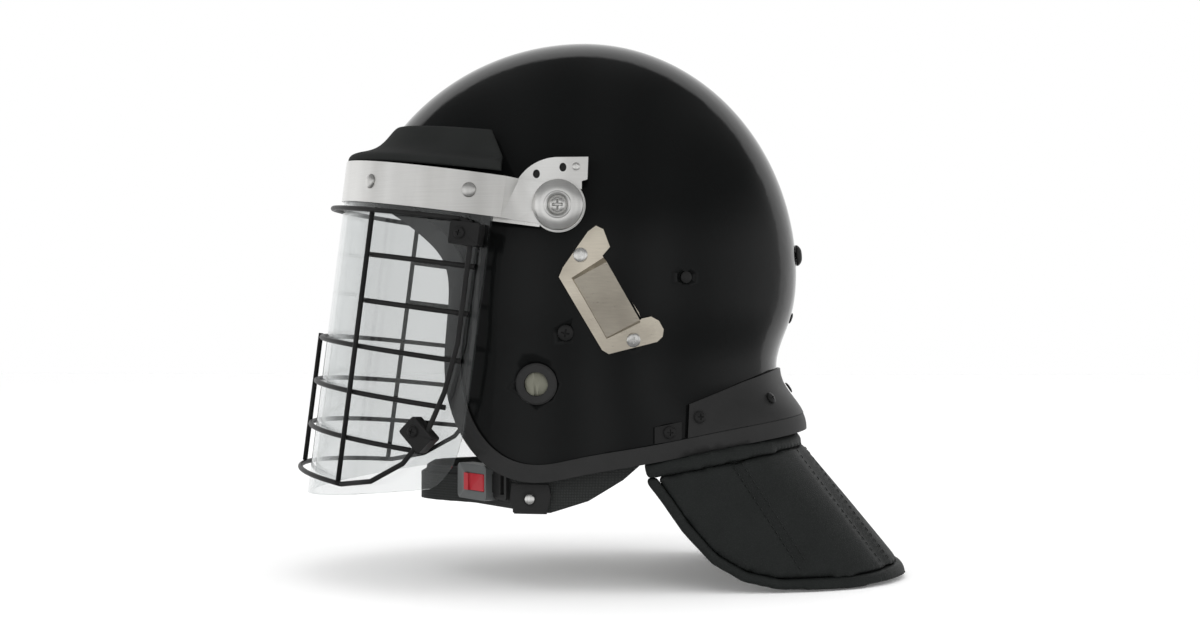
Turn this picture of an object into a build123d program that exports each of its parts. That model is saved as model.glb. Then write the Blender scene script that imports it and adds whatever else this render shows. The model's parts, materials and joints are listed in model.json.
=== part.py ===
from build123d import *
from math import asin, atan2, cos, degrees, hypot, radians, sin, sqrt, tan
import os

os.makedirs("parts", exist_ok=True)

# Frame: millimetres, +Z up, front of the helmet towards -Y, the wearer's left
# side towards +X. The origin is where the crown of the head meets the crown pad.

# Shell
half_width = 118
front_reach = 148
back_reach = 133
crown_rise = 145
crown_top = 38
shell_wall = 4
equator = crown_top - crown_rise
rim_depth = 266
side_draw_in = 6
side_draw_depth = 75
waist_depth = 53
waist_draw_in = 12
flare_start = 60
flare_depth = 32
flare_out = 16
form_foot = 142
crown_opening_angle = 86.5

# Rim outline seen from the side, from the brow down the face edge and back
# along the rim, as shares of the front reach and of the depth below the crown
rim_shares = [
    (-1.284, 0.316), (-0.757, 0.410), (-0.608, 0.466), (-0.514, 0.523),
    (-0.497, 0.632), (-0.510, 0.789), (-0.439, 0.906), (-0.311, 0.977),
    (-0.155, 1.000), (0.020, 0.985), (0.277, 0.961), (0.574, 0.932),
    (0.831, 0.912), (1.182, 0.887),
]

# Edge trim, a U-section gripping the cut edge
trim_wall = 2
trim_height = 10
trim_fit = 0.15

# Liner and comfort pads
liner_gap = 0.5
liner_thickness = 20.5
liner_foot = -132
pad_gap = 0.3
crown_pad_radius = 34
crown_pad_corner = 1.5
brow_pad_thickness = 12
brow_pad_foot = -66
brow_pad_head = -28
brow_pad_end = -30
side_pad_grow = -9.2
side_pad_thickness = 24
nape_pad_foot = -199
nape_pad_front = 56
cheek_outline = [(-58, -132.3), (44, -132.3), (48, -210), (40, -218.5), (24, -224.5), (4, -230.4),
                 (-12, -232), (-13.5, -227.6), (-24, -226.4), (-36, -220),
                 (-50, -212), (-62, -198), (-68, -180), (-68, -140)]

# Visor pivot and the frame that turns on it
pivot_y = -8.6
pivot_z = -69.5
visor_tilt = 7.3
visor_range = 90

# Index plates and pivots, stacked outwards from the shell
plate_face = 116.8
plate_thickness = 1.5
plate_radius = 27.3
plate_hub_radius = 15.5
plate_corner = [(-2, 14), (13.4, 9), (13.4, 13.6), (16.6, 14.6), (17.1, 27.4), (-1, 27.3)]
plate_heel = -7
base_depth = 26
detent_radius = 21.7
detent_width = 4
detent_height = 5
detent_angles = [172.7, 125, 83]
base_gap = 0.3
leaf_lift = 0.4
leaf_thickness = 0.6
leaf_backing = 0.2
leaf_start = 9
leaf_end = 36
leaf_height = 17
leaf_drop = -5.2
dimple_radius = 1.8
dimple_height = 0.35
arm_thickness = 1.5
arm_height = 23.4
arm_end_radius = 15
arm_straight = 24
bush_radius = 6
bush_length = 3.2
bush_clearance = 0.2
pivot_screw_radius = 3
pivot_clearance = 0.1
pivot_head_radius = 5.6
pivot_head_height = 2.6
pivot_recess_width = 1.3
pivot_recess_length = 6
pivot_recess_depth = 1.4
pivot_nut_radius = 5.5
pivot_nut_length = 4
nut_face = 108.4
pivot_hole_radius = 3.3
nut_pocket_radius = 8
wave_inner_radius = 6.4
wave_outer_radius = 9
wave_thickness = 0.3
dome_radius = 14.5
dome_rim = 1.2
dome_height = 4.3
dome_ring_radius = 7.4
dome_cup_radius = 5.9
dome_cup_height = 1.9
dome_shoulder = 12
dome_shoulder_height = 3.2
dome_recess = 0.2
plate_screw_place = (10.2, 21.9)
plate_screw_radius = 2.3
plate_screw_height = 0.9
plate_screw_shank = 1.2
plate_screw_length = 4

# Visor, band and their rivets
band_radius = 130
band_centre = 13
band_thickness = 1.5
band_start = 8
band_top_front = 14.7
band_foot_front = -9.9
visor_gap = 0.1
visor_thickness = 3
visor_start = 10.5
visor_head = 12
visor_shares = [(0, 0.2), (1.1, 0.2), (1.1, -1.013), (0.368, -0.878), (0.34, -0.865), (0.315, -0.842),
                (0.29, -0.808), (0.272, -0.765), (0.26, -0.715), (0, -0.715)]
visor_depth = 193
inner_band_thickness = 1.2
inner_band_start = 12
inner_band_head = 11.5
inner_band_foot = -7
rivet_angles = [17, 51.5, 90, 128.5, 163]
rivet_level = 2
rivet_head_radius = 4.3
rivet_head_height = 1.9
rivet_shank_radius = 2
rivet_clearance = 0.15
rivet_tail_radius = 3.2
rivet_tail_height = 1.1
rivet_tail_gap = 0.1

# Brow seal: levels above the pivot, half widths and front reaches
seal_levels = [14.9, 19, 23.5, 30, 39.5]
seal_half_widths = [129.4, 127.6, 117.5, 111.5, 107.5]
seal_fronts = [142.3, 141, 130.5, 122, 115]
seal_thickness = 3
seal_gap = 0.5
seal_rear = [(33.5, 12), (36, 24), (45.5, 39.5)]
seal_turns = 6
seal_lap_share = 0.6
seal_tail = 20

# Wire cage
wire_radius = 1.5
hoop_radius = 134.7
bar_radius = 131.66
cage_top = -15
cage_foot = -176
bar_levels = [-41, -68, -95, -122, -149]
bar_starts = [12.8, 12.8, 13.2, 15.6, 20.8]
upright_angle = 45.5
weld_gap = 0.03
weld_turn = 0.3
side_route = [(17.2, -15), (14.9, -17.2), (14, -23), (14, -85), (15.7, -113), (19, -138), (24.5, -157),
              (33.5, -170.5), (44, -176)]
clamp_height = 13
clamp_width = 18
clamp_depth = 8.8
clamp_places = [(15.6, -23, 0), (21.4, -139.5, -38)]
clamp_corner = 1.5
clamp_bolt_shift = -2.6
clamp_groove = 0.15
clamp_bolt_radius = 3.3
clamp_bolt_height = 2
clamp_shank_radius = 2
clamp_nut_radius = 3.5
clamp_nut_length = 2.5
clamp_nut_gap = 0.25

# Domed fasteners: the form of their heads and their fits
fastener_shank = 4.2
head_edge_share = 0.3
bulge_share = 0.7
head_flat_share = 0.12
rise_share = 0.75
hole_clearance = 0.2
fastener_lift = 0.1

# Side fittings
hook_thickness = 1.2
hook_gap = 0.3
hook_outline = [(12.8, -81.2), (17, -83.2), (20.8, -93.3), (16.6, -98.3), (18.7, -102.3),
                (37, -130.4), (38.3, -134.1), (44.1, -132.9), (48.5, -135.3), (51.2, -140.2),
                (50.6, -144.4), (47.5, -147.4), (20, -154.3), (16.2, -152), (-8.2, -110.4), (-5.9, -105),
                (8.3, -84.5)]
hook_centre = (18.5, -123)
hook_turn = -60
hook_pocket_length = 38
hook_pocket_width = 21
hook_rise = 8
hook_low = 2.2
hook_draft = 4
hook_root = 6
hook_screws = [(4.1, -97.9), (34, -146.3)]
hook_screw_radius = 2.9
hook_screw_height = 1.2
hook_screw_shank = 1.6
anchor_place = (-4.6, -142.1)
anchor_radius = 4.6
anchor_height = 1.8
anchor_shank = 2.2
anchor_length = 8.6
side_rivet_place = (64, -110.3)
side_rivet_radius = 3.4
side_rivet_height = 1.2
rear_rivet_level = -134
grommet_place = (-21.5, -171.5)
grommet_radius = 12
grommet_inner = 7
grommet_height = 2.2
disc_gap = 0.2
disc_height = 1
plug_level = -94.8
plug_radius = 6.5
plug_height = 3.6
plug_lift = 0.4

# Neck strip
strip_thickness = 2
strip_outline = [(64, -225), (66, -183.5), (98, -171.5), (118, -165.5), (150, -163), (150, -225)]
strip_screws = [(71.7, -191), (114.4, -182)]
strip_screw_radius = 3.6
strip_screw_height = 1.8
rear_studs = [-178]
clip_place = (54, -199.5)
clip_outline = [(46, -206), (46, -196.5), (61.5, -193.5), (61.5, -204)]
clip_thickness = 1.2

# Neck guard
guard_top = [(106.5, 22), (97, 72), (60, 112), (0, 131)]
guard_foot = [(96, 60), (92, 130), (56, 186), (0, 203)]
guard_top_level = -205
guard_foot_level = -292
guard_thickness = 9
roll_height = 8
roll_swell = 1.5
piping_width = 6
piping_swell = 1
guard_outline = [(42, -229), (50, -239.5), (62, -257), (79, -275.5), (97, -286), (118, -291), (160, -292),
                 (230, -288), (230, -190), (36, -190)]
guard_gap = 0.4

# Chin harness
yoke_outline = [(4.5, -133), (-13.5, -133), (-36, -240), (-36, -246), (-14, -246), (8, -239), (28, -227),
                (40, -216.6), (60, -204), (60, -195), (50, -196), (18, -216), (-5, -226), (-11, -223)]
yoke_inside = -6.8
yoke_thickness = 1.6
junction_outline = [(-36.5, -229.5), (-15, -229.5), (-13.5, -236), (-16, -246.5), (-35, -246.5),
                    (-37.5, -238)]
junction_lift = 0.4
junction_thickness = 2
junction_place = (-25.5, -238)
junction_rivet_radius = 3
junction_rivet_height = 1.2
junction_rivet_shank = 1.5
chin_route = [(101.7, -15), (100, -30), (50, -66), (28, -100), (-28, -100), (-50, -66), (-100, -30),
              (-101.7, -15)]
chin_corner = 24
chin_strap_width = 16
chin_strap_level = -237
cup_foot = -248
cup_height = 25
cup_thickness = 7
cup_gap = 0.2
cup_end_share = 0.08
cup_edge = 2

# Buckle
buckle_share = 0.3
buckle_level = -231
housing_length = 34
housing_height = 21
housing_depth = 9
housing_corner = 3
housing_wall = 2
lever_length = 22
lever_height = 10
lever_thickness = 3
lever_gap = 0.3
lever_lift = 1.2
lever_pin_radius = 0.8
lever_pin_length = 1.4
lever_grip_length = 5
tongue_length = 15
tongue_height = 18
tongue_thickness = 2.4
tongue_nose = 12
tongue_nose_height = 11
tongue_slot_length = 4
tongue_slot_height = 12
tongue_gap = 0.3

# Cutting reach
reach = 400
overrun = 1
cutter_depth = 14

def ease(share):
    """A smooth step from 0 to 1"""
    share = min(max(share, 0), 1)
    return share * share * (3 - 2 * share)


def reaches(z, grow):
    """Half width, front reach and back reach of the helmet's form at one height"""
    height = z - equator
    if height >= 0:
        lift = min(height / (crown_rise + grow), 1)
        shrink = sqrt(1 - lift * lift)
        return (half_width + grow) * shrink, (front_reach + grow) * shrink, (back_reach + grow) * shrink
    depth = -height
    side = half_width + grow - side_draw_in * ease(depth / side_draw_depth)
    waist = waist_draw_in * ease((depth / waist_depth) ** 1.5)
    flare = flare_out * ease((depth - flare_start) / flare_depth)
    return side, front_reach + grow, back_reach + grow - waist + flare


def section_heights(grow):
    """Heights of the form's sections, closer together where it curves most"""
    below = [equator - form_foot * share for share in (1, 0.85, 0.7, 0.58, 0.47, 0.37, 0.2)]
    angles = [crown_opening_angle * share for share in (0, 0.2, 0.4, 0.6, 0.78, 0.92, 1)]
    return below + [equator + (crown_rise + grow) * sin(radians(angle)) for angle in angles]


def form(grow):
    """The helmet's outside form, grown outwards evenly, as one closed solid"""
    with BuildPart() as body:
        for z in section_heights(grow):
            side, front, back = reaches(z, grow)
            with BuildSketch(Plane.XY.offset(z)):
                with BuildLine():
                    EllipticalCenterArc((0, 0), side, front, start_angle=180, arc_size=180)
                    EllipticalCenterArc((0, 0), side, back, start_angle=0, arc_size=180)
                make_face()
        loft()
    return body.part


def moved_in(points, inset):
    """An open outline moved to its left by an even amount"""
    moved = []
    for number, point in enumerate(points):
        before = Vector(*points[max(number - 1, 0)])
        here = Vector(*point)
        after = Vector(*points[min(number + 1, len(points) - 1)])
        into = (here - before).normalized() if number else (after - here).normalized()
        out = (after - here).normalized() if number < len(points) - 1 else into
        left = Vector(-into.Y - out.Y, into.X + out.X).normalized()
        half_turn = radians(into.get_angle(out)) / 2
        moved.append(tuple(here + left * (inset / cos(half_turn)))[:2])
    return moved


def rim_points(inset=0):
    """The trim's outer edge, seen from the side, or a line drawn in from it"""
    points = [(front_reach * along, crown_top - rim_depth * down) for along, down in rim_shares]
    return moved_in(points, inset)


side_plane = Plane(origin=(-reach, 0, 0), x_dir=(0, 1, 0), z_dir=(1, 0, 0))


def kept_side(inset):
    """Everything above the rim and behind the face opening, drawn in from the edge"""
    points = rim_points(inset)
    first, last = points[0], points[-1]
    with BuildPart() as body:
        with BuildSketch(side_plane):
            with BuildLine():
                Spline(*points)
                Polyline(last, (last[0], reach), (first[0], reach), first)
            make_face()
        extrude(amount=2 * reach)
    return body.part


def hand_in(piece, name):
    """Label a finished piece and write it"""
    piece.part.label = name
    export_step(piece.part, f"parts/{name}.step")


def other_side(part):
    """The same piece on the wearer's right side"""
    return part.mirror(Plane.YZ)


def on_form(turn, z, grow):
    """A point of the form: turn is 0 at the left side and 90 at the back"""
    side, front, back = reaches(z, grow)
    lengthways = back if sin(radians(turn)) > 0 else front
    return Vector(side * cos(radians(turn)), lengthways * sin(radians(turn)), z)


def seat(y, z, grow=0):
    """A plane that lies on the form's left side and faces outwards"""
    side, front, back = reaches(z, grow)
    turn = degrees(asin(y / (back if y > 0 else front)))
    along = on_form(turn + overrun, z, grow) - on_form(turn - overrun, z, grow)
    up = on_form(turn, z + overrun, grow) - on_form(turn, z - overrun, grow)
    return Plane(origin=on_form(turn, z, grow), x_dir=along, z_dir=along.cross(up))


def rear_seat(z, grow=0):
    """A plane that lies on the form at the middle of its back and faces outwards"""
    up = on_form(90, z + overrun, grow) - on_form(90, z - overrun, grow)
    return Plane(origin=on_form(90, z, grow), x_dir=(-1, 0, 0), z_dir=Vector(-1, 0, 0).cross(up))


def turned(place, turn):
    """The same plane, turned about its own axis"""
    along = place.x_dir * cos(radians(turn)) + place.y_dir * sin(radians(turn))
    return Plane(origin=place.origin, x_dir=along, z_dir=place.z_dir)


def button(place, head_radius, head_height, shank_radius, shank_length):
    """A domed fastener: its head stands on the plane and its shank goes down through it"""
    edge = head_height * head_edge_share
    crown = edge + (head_height - edge) * rise_share
    flat = head_radius * head_flat_share
    with BuildPart() as body:
        with BuildSketch(Plane(origin=place.origin, x_dir=place.x_dir, z_dir=-place.y_dir)):
            with BuildLine():
                Polyline((flat, head_height), (0, head_height), (0, -shank_length),
                         (shank_radius, -shank_length), (shank_radius, 0), (head_radius, 0),
                         (head_radius, edge))
                ThreePointArc((head_radius, edge), (head_radius * bulge_share, crown), (flat, head_height))
            make_face()
        revolve(axis=Axis(place.origin, place.z_dir))
    return body.part


def plug_cutter(place, radius, depth):
    """A round cutter along a plane's axis, as far up as down"""
    with BuildPart() as body:
        with BuildSketch(place.offset(-depth)):
            Circle(radius)
        extrude(amount=2 * depth)
    return body.part


def side_prism(points, smooth=False):
    """A prism across the whole helmet from an outline seen from the side"""
    with BuildPart() as body:
        with BuildSketch(side_plane):
            with BuildLine():
                if smooth:
                    Spline(*points, periodic=True)
                else:
                    Polyline(*points, close=True)
            make_face()
        extrude(amount=2 * reach)
    return body.part


def slab(low, high, front, back):
    """A block across the whole helmet between two heights and two depths"""
    with BuildPart() as body:
        with BuildSketch(Plane.XY.offset(low)):
            with Locations((0, (front + back) / 2)):
                Rectangle(2 * reach, back - front)
        extrude(amount=high - low)
    return body.part


# Forms shared by the pieces
outer_form = form(0)
inner_form = form(-shell_wall)
liner_back_form = form(-shell_wall - liner_gap)
liner_face_form = form(-shell_wall - liner_gap - liner_thickness)
pad_seat_form = form(-shell_wall - liner_gap - liner_thickness - pad_gap)
brow_face_form = form(-shell_wall - liner_gap - liner_thickness - pad_gap - brow_pad_thickness)
side_pad_form = form(side_pad_grow)
side_pad_face_form = form(side_pad_grow - side_pad_thickness)
base_form = form(base_gap)
shell_side = kept_side(trim_wall)
above_trim = kept_side(trim_height + pad_gap)

# Places of the fittings on the shell
pivot_plane = Plane(origin=(0, pivot_y, pivot_z), x_dir=(0, 1, 0), z_dir=(1, 0, 0))
plate_plane = pivot_plane.offset(plate_face)
anchor_seat = seat(*anchor_place)
side_rivet_seat = seat(*side_rivet_place)
rear_rivet_seat = rear_seat(rear_rivet_level)
plug_seat = rear_seat(plug_level)
grommet_seat = seat(*grommet_place)
hook_screw_seats = [seat(y, z, hook_gap + hook_thickness) for y, z in hook_screws]
strip_grow = base_gap + strip_thickness
strip_seats = [seat(y, z, strip_grow) for y, z in strip_screws]
stud_seats = [rear_seat(z, strip_grow) for z in rear_studs]
clip_seat = seat(*clip_place, base_gap)

# Shell
with BuildPart() as shell:
    add(outer_form)
    add(shell_side, mode=Mode.INTERSECT)
    add(inner_form, mode=Mode.SUBTRACT)
    holes = [(pivot_plane.offset(half_width), pivot_hole_radius), (anchor_seat, anchor_shank),
             (side_rivet_seat, anchor_shank), (grommet_seat, grommet_inner + trim_wall)]
    holes += [(place, hook_screw_shank) for place in hook_screw_seats]
    holes += [(place, anchor_shank) for place in strip_seats + [clip_seat]]
    for place, radius in holes:
        cutter = plug_cutter(place, radius + hole_clearance, cutter_depth)
        add(cutter, mode=Mode.SUBTRACT)
        add(other_side(cutter), mode=Mode.SUBTRACT)
    for place in [plug_seat, rear_rivet_seat] + stud_seats:
        add(plug_cutter(place, anchor_shank + hole_clearance, cutter_depth), mode=Mode.SUBTRACT)
hand_in(shell, "shell")

# Edge trim
with BuildPart() as trim_groove:
    add(form(trim_fit))
    add(kept_side(trim_wall - trim_fit), mode=Mode.INTERSECT)
    add(form(-shell_wall - trim_fit), mode=Mode.SUBTRACT)
with BuildPart() as edge_trim:
    add(form(trim_wall))
    add(kept_side(0), mode=Mode.INTERSECT)
    add(kept_side(trim_height), mode=Mode.SUBTRACT)
    add(form(-shell_wall - trim_wall), mode=Mode.SUBTRACT)
    add(trim_groove.part, mode=Mode.SUBTRACT)
hand_in(edge_trim, "edge_trim")

# Impact liner
with BuildPart() as impact_liner:
    add(liner_back_form)
    add(above_trim, mode=Mode.INTERSECT)
    add(liner_face_form, mode=Mode.SUBTRACT)
    split(bisect_by=Plane.XY.offset(liner_foot), keep=Keep.TOP)
    pocket = plug_cutter(pivot_plane.offset(half_width), nut_pocket_radius, cutter_depth + overrun)
    add(pocket, mode=Mode.SUBTRACT)
    add(other_side(pocket), mode=Mode.SUBTRACT)
hand_in(impact_liner, "impact_liner")

# Crown pad, its underside the seat of the head
with BuildPart() as crown_pad:
    with BuildSketch():
        Circle(crown_pad_radius)
    extrude(amount=crown_top)
    add(pad_seat_form, mode=Mode.INTERSECT)
    fillet(crown_pad.faces().sort_by(Axis.Z)[0].edges(), crown_pad_corner)
hand_in(crown_pad, "crown_pad")

# Brow pad, a band across the forehead
with BuildPart() as brow_pad:
    add(pad_seat_form)
    add(slab(brow_pad_foot, brow_pad_head, -reach, brow_pad_end), mode=Mode.INTERSECT)
    add(above_trim, mode=Mode.INTERSECT)
    add(brow_face_form, mode=Mode.SUBTRACT)
hand_in(brow_pad, "brow_pad")

# Cheek pads beside the ears, showing a little under the trim
with BuildPart() as cheek_pad_left:
    add(side_pad_form)
    add(side_prism(cheek_outline), mode=Mode.INTERSECT)
    add(side_pad_face_form, mode=Mode.SUBTRACT)
    split(bisect_by=Plane.YZ, keep=Keep.TOP)
hand_in(cheek_pad_left, "cheek_pad_left")
with BuildPart() as cheek_pad_right:
    add(other_side(cheek_pad_left.part))
hand_in(cheek_pad_right, "cheek_pad_right")

# Nape pad
with BuildPart() as nape_pad:
    add(side_pad_form)
    add(slab(nape_pad_foot, liner_foot - pad_gap, nape_pad_front, reach), mode=Mode.INTERSECT)
    add(side_pad_face_form, mode=Mode.SUBTRACT)
hand_in(nape_pad, "nape_pad")

# Index plate outline, drawn about the pivot
def plate_outline():
    """A quadrant, its hub and the corner that carries its screw"""
    far = plate_radius + overrun
    Circle(plate_radius)
    Polygon((-far, plate_heel), (0, plate_heel), (0, far), (-far, far), align=None, mode=Mode.INTERSECT)
    Circle(plate_hub_radius)
    Polygon(*plate_corner, align=None)


# Moulded bases that level the index plates on the curved shell
with BuildPart() as pivot_base_left:
    with BuildSketch(plate_plane):
        plate_outline()
        Circle(pivot_nut_radius + hole_clearance, mode=Mode.SUBTRACT)
        with Locations(plate_screw_place):
            Circle(plate_screw_shank + hole_clearance, mode=Mode.SUBTRACT)
    extrude(amount=-base_depth)
    add(base_form, mode=Mode.SUBTRACT)
hand_in(pivot_base_left, "pivot_base_left")
with BuildPart() as pivot_base_right:
    add(other_side(pivot_base_left.part))
hand_in(pivot_base_right, "pivot_base_right")

# Index plates with their detent holes
with BuildPart() as index_plate_left:
    with BuildSketch(plate_plane):
        plate_outline()
        Circle(pivot_screw_radius + hole_clearance, mode=Mode.SUBTRACT)
        with Locations(plate_screw_place):
            Circle(plate_screw_shank + hole_clearance, mode=Mode.SUBTRACT)
        for angle in detent_angles:
            with Locations((detent_radius * cos(radians(angle)), detent_radius * sin(radians(angle)))):
                Ellipse(detent_width / 2, detent_height / 2, mode=Mode.SUBTRACT)
    extrude(amount=plate_thickness)
hand_in(index_plate_left, "index_plate_left")
with BuildPart() as index_plate_right:
    add(other_side(index_plate_left.part))
hand_in(index_plate_right, "index_plate_right")

# Index plate screws
screw_plane = plate_plane.offset(plate_thickness)
plate_screw = button(Plane(origin=screw_plane.from_local_coords((*plate_screw_place, 0)),
                           x_dir=screw_plane.x_dir, z_dir=screw_plane.z_dir),
                     plate_screw_radius, plate_screw_height, plate_screw_shank, plate_screw_length)
with BuildPart() as index_plate_screws:
    add(plate_screw)
    add(other_side(plate_screw))
hand_in(index_plate_screws, "index_plate_screws")

# Pivot bushes, on which the arms turn
arm_face = plate_face + plate_thickness + leaf_lift + leaf_thickness + leaf_backing
bush_foot = plate_face + plate_thickness
bush_head = bush_foot + bush_length
with BuildPart() as pivot_bushes:
    with BuildSketch(pivot_plane.offset(bush_foot)):
        Circle(bush_radius)
        Circle(pivot_screw_radius + pivot_clearance, mode=Mode.SUBTRACT)
    extrude(amount=bush_length)
    mirror(about=Plane.YZ)
hand_in(pivot_bushes, "pivot_bushes")

# Wave washers between the arms and the domes
with BuildPart() as wave_washers:
    with BuildSketch(pivot_plane.offset(arm_face + arm_thickness + pivot_clearance)):
        Circle(wave_outer_radius)
        Circle(wave_inner_radius, mode=Mode.SUBTRACT)
    extrude(amount=wave_thickness)
    mirror(about=Plane.YZ)
hand_in(wave_washers, "wave_washers")

# Pivot domes
screw_fit = pivot_screw_radius + pivot_clearance
with BuildPart() as pivot_domes:
    with BuildSketch(Plane(origin=(bush_head, pivot_y, pivot_z), x_dir=(0, 1, 0), z_dir=(0, 0, -1))):
        with BuildLine():
            Polyline((screw_fit, dome_cup_height), (screw_fit, 0), (wave_inner_radius, 0),
                     (wave_inner_radius, dome_recess), (dome_radius - dome_rim, dome_recess),
                     (dome_radius - dome_rim, 0), (dome_radius, 0), (dome_radius, dome_rim))
            ThreePointArc((dome_radius, dome_rim), (dome_shoulder, dome_shoulder_height),
                          (dome_ring_radius, dome_height))
            Polyline((dome_ring_radius, dome_height), (dome_cup_radius, dome_height),
                     (dome_cup_radius, dome_cup_height), (screw_fit, dome_cup_height))
        make_face()
    revolve(axis=Axis((0, pivot_y, pivot_z), (1, 0, 0)))
    mirror(about=Plane.YZ)
hand_in(pivot_domes, "pivot_domes")

# Pivot screws, their crosses cut into the heads
head_face = bush_head + dome_cup_height
screw_seat = pivot_plane.offset(head_face)
pivot_screw_length = head_face - nut_face + pivot_nut_length
with BuildPart() as pivot_screws:
    add(button(screw_seat, pivot_head_radius, pivot_head_height, pivot_screw_radius, pivot_screw_length))
    with BuildSketch(screw_seat.offset(pivot_head_height - pivot_recess_depth)):
        Rectangle(pivot_recess_length, pivot_recess_width)
        Rectangle(pivot_recess_width, pivot_recess_length)
    extrude(amount=pivot_head_height, mode=Mode.SUBTRACT)
    mirror(about=Plane.YZ)
hand_in(pivot_screws, "pivot_screws")

# Pivot nuts inside the shell
with BuildPart() as pivot_nuts:
    with BuildSketch(pivot_plane.offset(nut_face - pivot_nut_length)):
        RegularPolygon(pivot_nut_radius, 6)
        Circle(pivot_screw_radius + pivot_clearance / 2, mode=Mode.SUBTRACT)
    extrude(amount=pivot_nut_length)
    mirror(about=Plane.YZ)
hand_in(pivot_nuts, "pivot_nuts")

# The frame that turns on the pivots is drawn in its own plane: its face looks
# up along the visor's axis, and the front of the helmet is towards its -Y
tilt = radians(visor_tilt)
ahead = Vector(0, -cos(tilt), sin(tilt))
visor_plane = Plane(origin=(0, pivot_y, pivot_z), x_dir=(1, 0, 0), z_dir=(0, sin(tilt), cos(tilt)))
frame_side = Plane(origin=(reach, pivot_y, pivot_z), x_dir=ahead, z_dir=(-1, 0, 0))
arm_middle = arm_face + arm_thickness / 2
band_inner = band_radius - band_thickness
band_middle = band_radius - band_thickness / 2
visor_outer = band_inner - visor_gap
visor_inner = visor_outer - visor_thickness
inner_band_outer = visor_inner - visor_gap
inner_band_inner = inner_band_outer - inner_band_thickness


def ring_point(radius, angle):
    """A point round the visor's axis, in the frame's plane: 0 is the left side, 90 the front"""
    return radius * cos(radians(angle)), -band_centre - radius * sin(radians(angle))


def around(radius, angle, level):
    """The same point in the helmet's own frame"""
    return visor_plane.from_local_coords((*ring_point(radius, angle), level))


def radial_plane(radius, angle, level, turn=0):
    """A plane that faces outwards from the visor's axis"""
    outward = around(radius, angle, level) - around(0, angle, level)
    along = visor_plane.z_dir.cross(outward)
    return turned(Plane(origin=around(radius, angle, level), x_dir=along, z_dir=outward), turn)


def frame_prism(points):
    """A prism across the frame from an outline seen from its side: ahead and up"""
    with BuildPart() as body:
        with BuildSketch(frame_side):
            Polygon(*points, align=None)
        extrude(amount=2 * reach)
    return body.part


def bent_wall(outer, inner, start, low, high):
    """A wall round the visor's axis, from one side across the front to the other"""
    with BuildPart() as body:
        with BuildSketch(visor_plane.offset(low)):
            with Locations((0, -band_centre)):
                Circle(outer)
                Circle(inner, mode=Mode.SUBTRACT)
            Polygon(ring_point(0, 0), ring_point(reach, start), (reach, -2 * reach), (-reach, -2 * reach),
                    ring_point(reach, 180 - start), align=None, mode=Mode.INTERSECT)
        extrude(amount=high - low)
    return body.part


def rivet_cutters(radius):
    """Cutters for the rivet holes through band, visor and inner band"""
    return [plug_cutter(radial_plane(visor_outer, angle, rivet_level), radius, cutter_depth)
            for angle in rivet_angles]


def clamp_seat(place):
    """The outward plane at the middle of one clamp"""
    angle, level, turn = place
    return radial_plane(visor_outer, angle, level, turn)


bolt_seats = []
for place in clamp_places:
    spot = clamp_seat(place)
    origin = spot.from_local_coords((clamp_bolt_shift, 0, clamp_depth))
    bolt_seats.append(Plane(origin=origin, x_dir=spot.x_dir, z_dir=spot.z_dir))

# Visor band with the arms that carry it
with BuildPart() as visor_band:
    with BuildSketch(visor_plane.offset(-arm_height)):
        with Locations((0, -band_centre)):
            Circle(band_radius)
            Circle(band_inner, mode=Mode.SUBTRACT)
        Polygon(ring_point(0, 0), ring_point(reach, band_start), (reach, -2 * reach), (-reach, -2 * reach),
                ring_point(reach, 180 - band_start), align=None, mode=Mode.INTERSECT)
        for hand in (1, -1):
            fold = ring_point(band_middle, band_start)
            onward = ring_point(band_middle, band_start + overrun)
            route = [(arm_middle, 0), (arm_middle, -arm_straight), fold, onward]
            with BuildLine():
                Polyline(*[(hand * across, along) for across, along in route])
            trace(line_width=band_thickness)
    extrude(amount=2 * arm_height)
    add(frame_prism([(-overrun, arm_height / 2), (band_centre, arm_height / 2),
                     (band_centre + band_radius + overrun, band_top_front),
                     (band_centre + band_radius + overrun, band_foot_front),
                     (band_centre, -arm_height / 2), (-overrun, -arm_height / 2)]), mode=Mode.INTERSECT)
    for hand in (1, -1):
        with BuildSketch(pivot_plane.offset(hand * arm_middle - arm_thickness / 2)):
            Circle(arm_end_radius)
        extrude(amount=arm_thickness)
        with BuildSketch(pivot_plane.offset(hand * arm_middle - arm_thickness / 2 - overrun)):
            Circle(bush_radius + bush_clearance)
        extrude(amount=arm_thickness + 2 * overrun, mode=Mode.SUBTRACT)
    for cutter in rivet_cutters(rivet_shank_radius + rivet_clearance):
        add(cutter, mode=Mode.SUBTRACT)
hand_in(visor_band, "visor_band")

# Clear visor, its lower rear corners rounded off
visor_reach = band_centre + visor_outer
with BuildPart() as visor_shield:
    add(bent_wall(visor_outer, visor_inner, visor_start, -visor_depth - overrun, visor_head))
    add(frame_prism([(visor_reach * out, visor_depth * up) for out, up in visor_shares]), mode=Mode.INTERSECT)
    for cutter in rivet_cutters(rivet_shank_radius + rivet_clearance):
        add(cutter, mode=Mode.SUBTRACT)
    for spot in bolt_seats:
        cutter = plug_cutter(spot, clamp_shank_radius + rivet_clearance, cutter_depth)
        add(cutter, mode=Mode.SUBTRACT)
        add(other_side(cutter), mode=Mode.SUBTRACT)
hand_in(visor_shield, "visor_shield")

# Inner band, the backing strip of the rivets
with BuildPart() as inner_band:
    add(bent_wall(inner_band_outer, inner_band_inner, inner_band_start, inner_band_foot, inner_band_head))
    for cutter in rivet_cutters(rivet_shank_radius + rivet_clearance):
        add(cutter, mode=Mode.SUBTRACT)
hand_in(inner_band, "inner_band")

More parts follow.
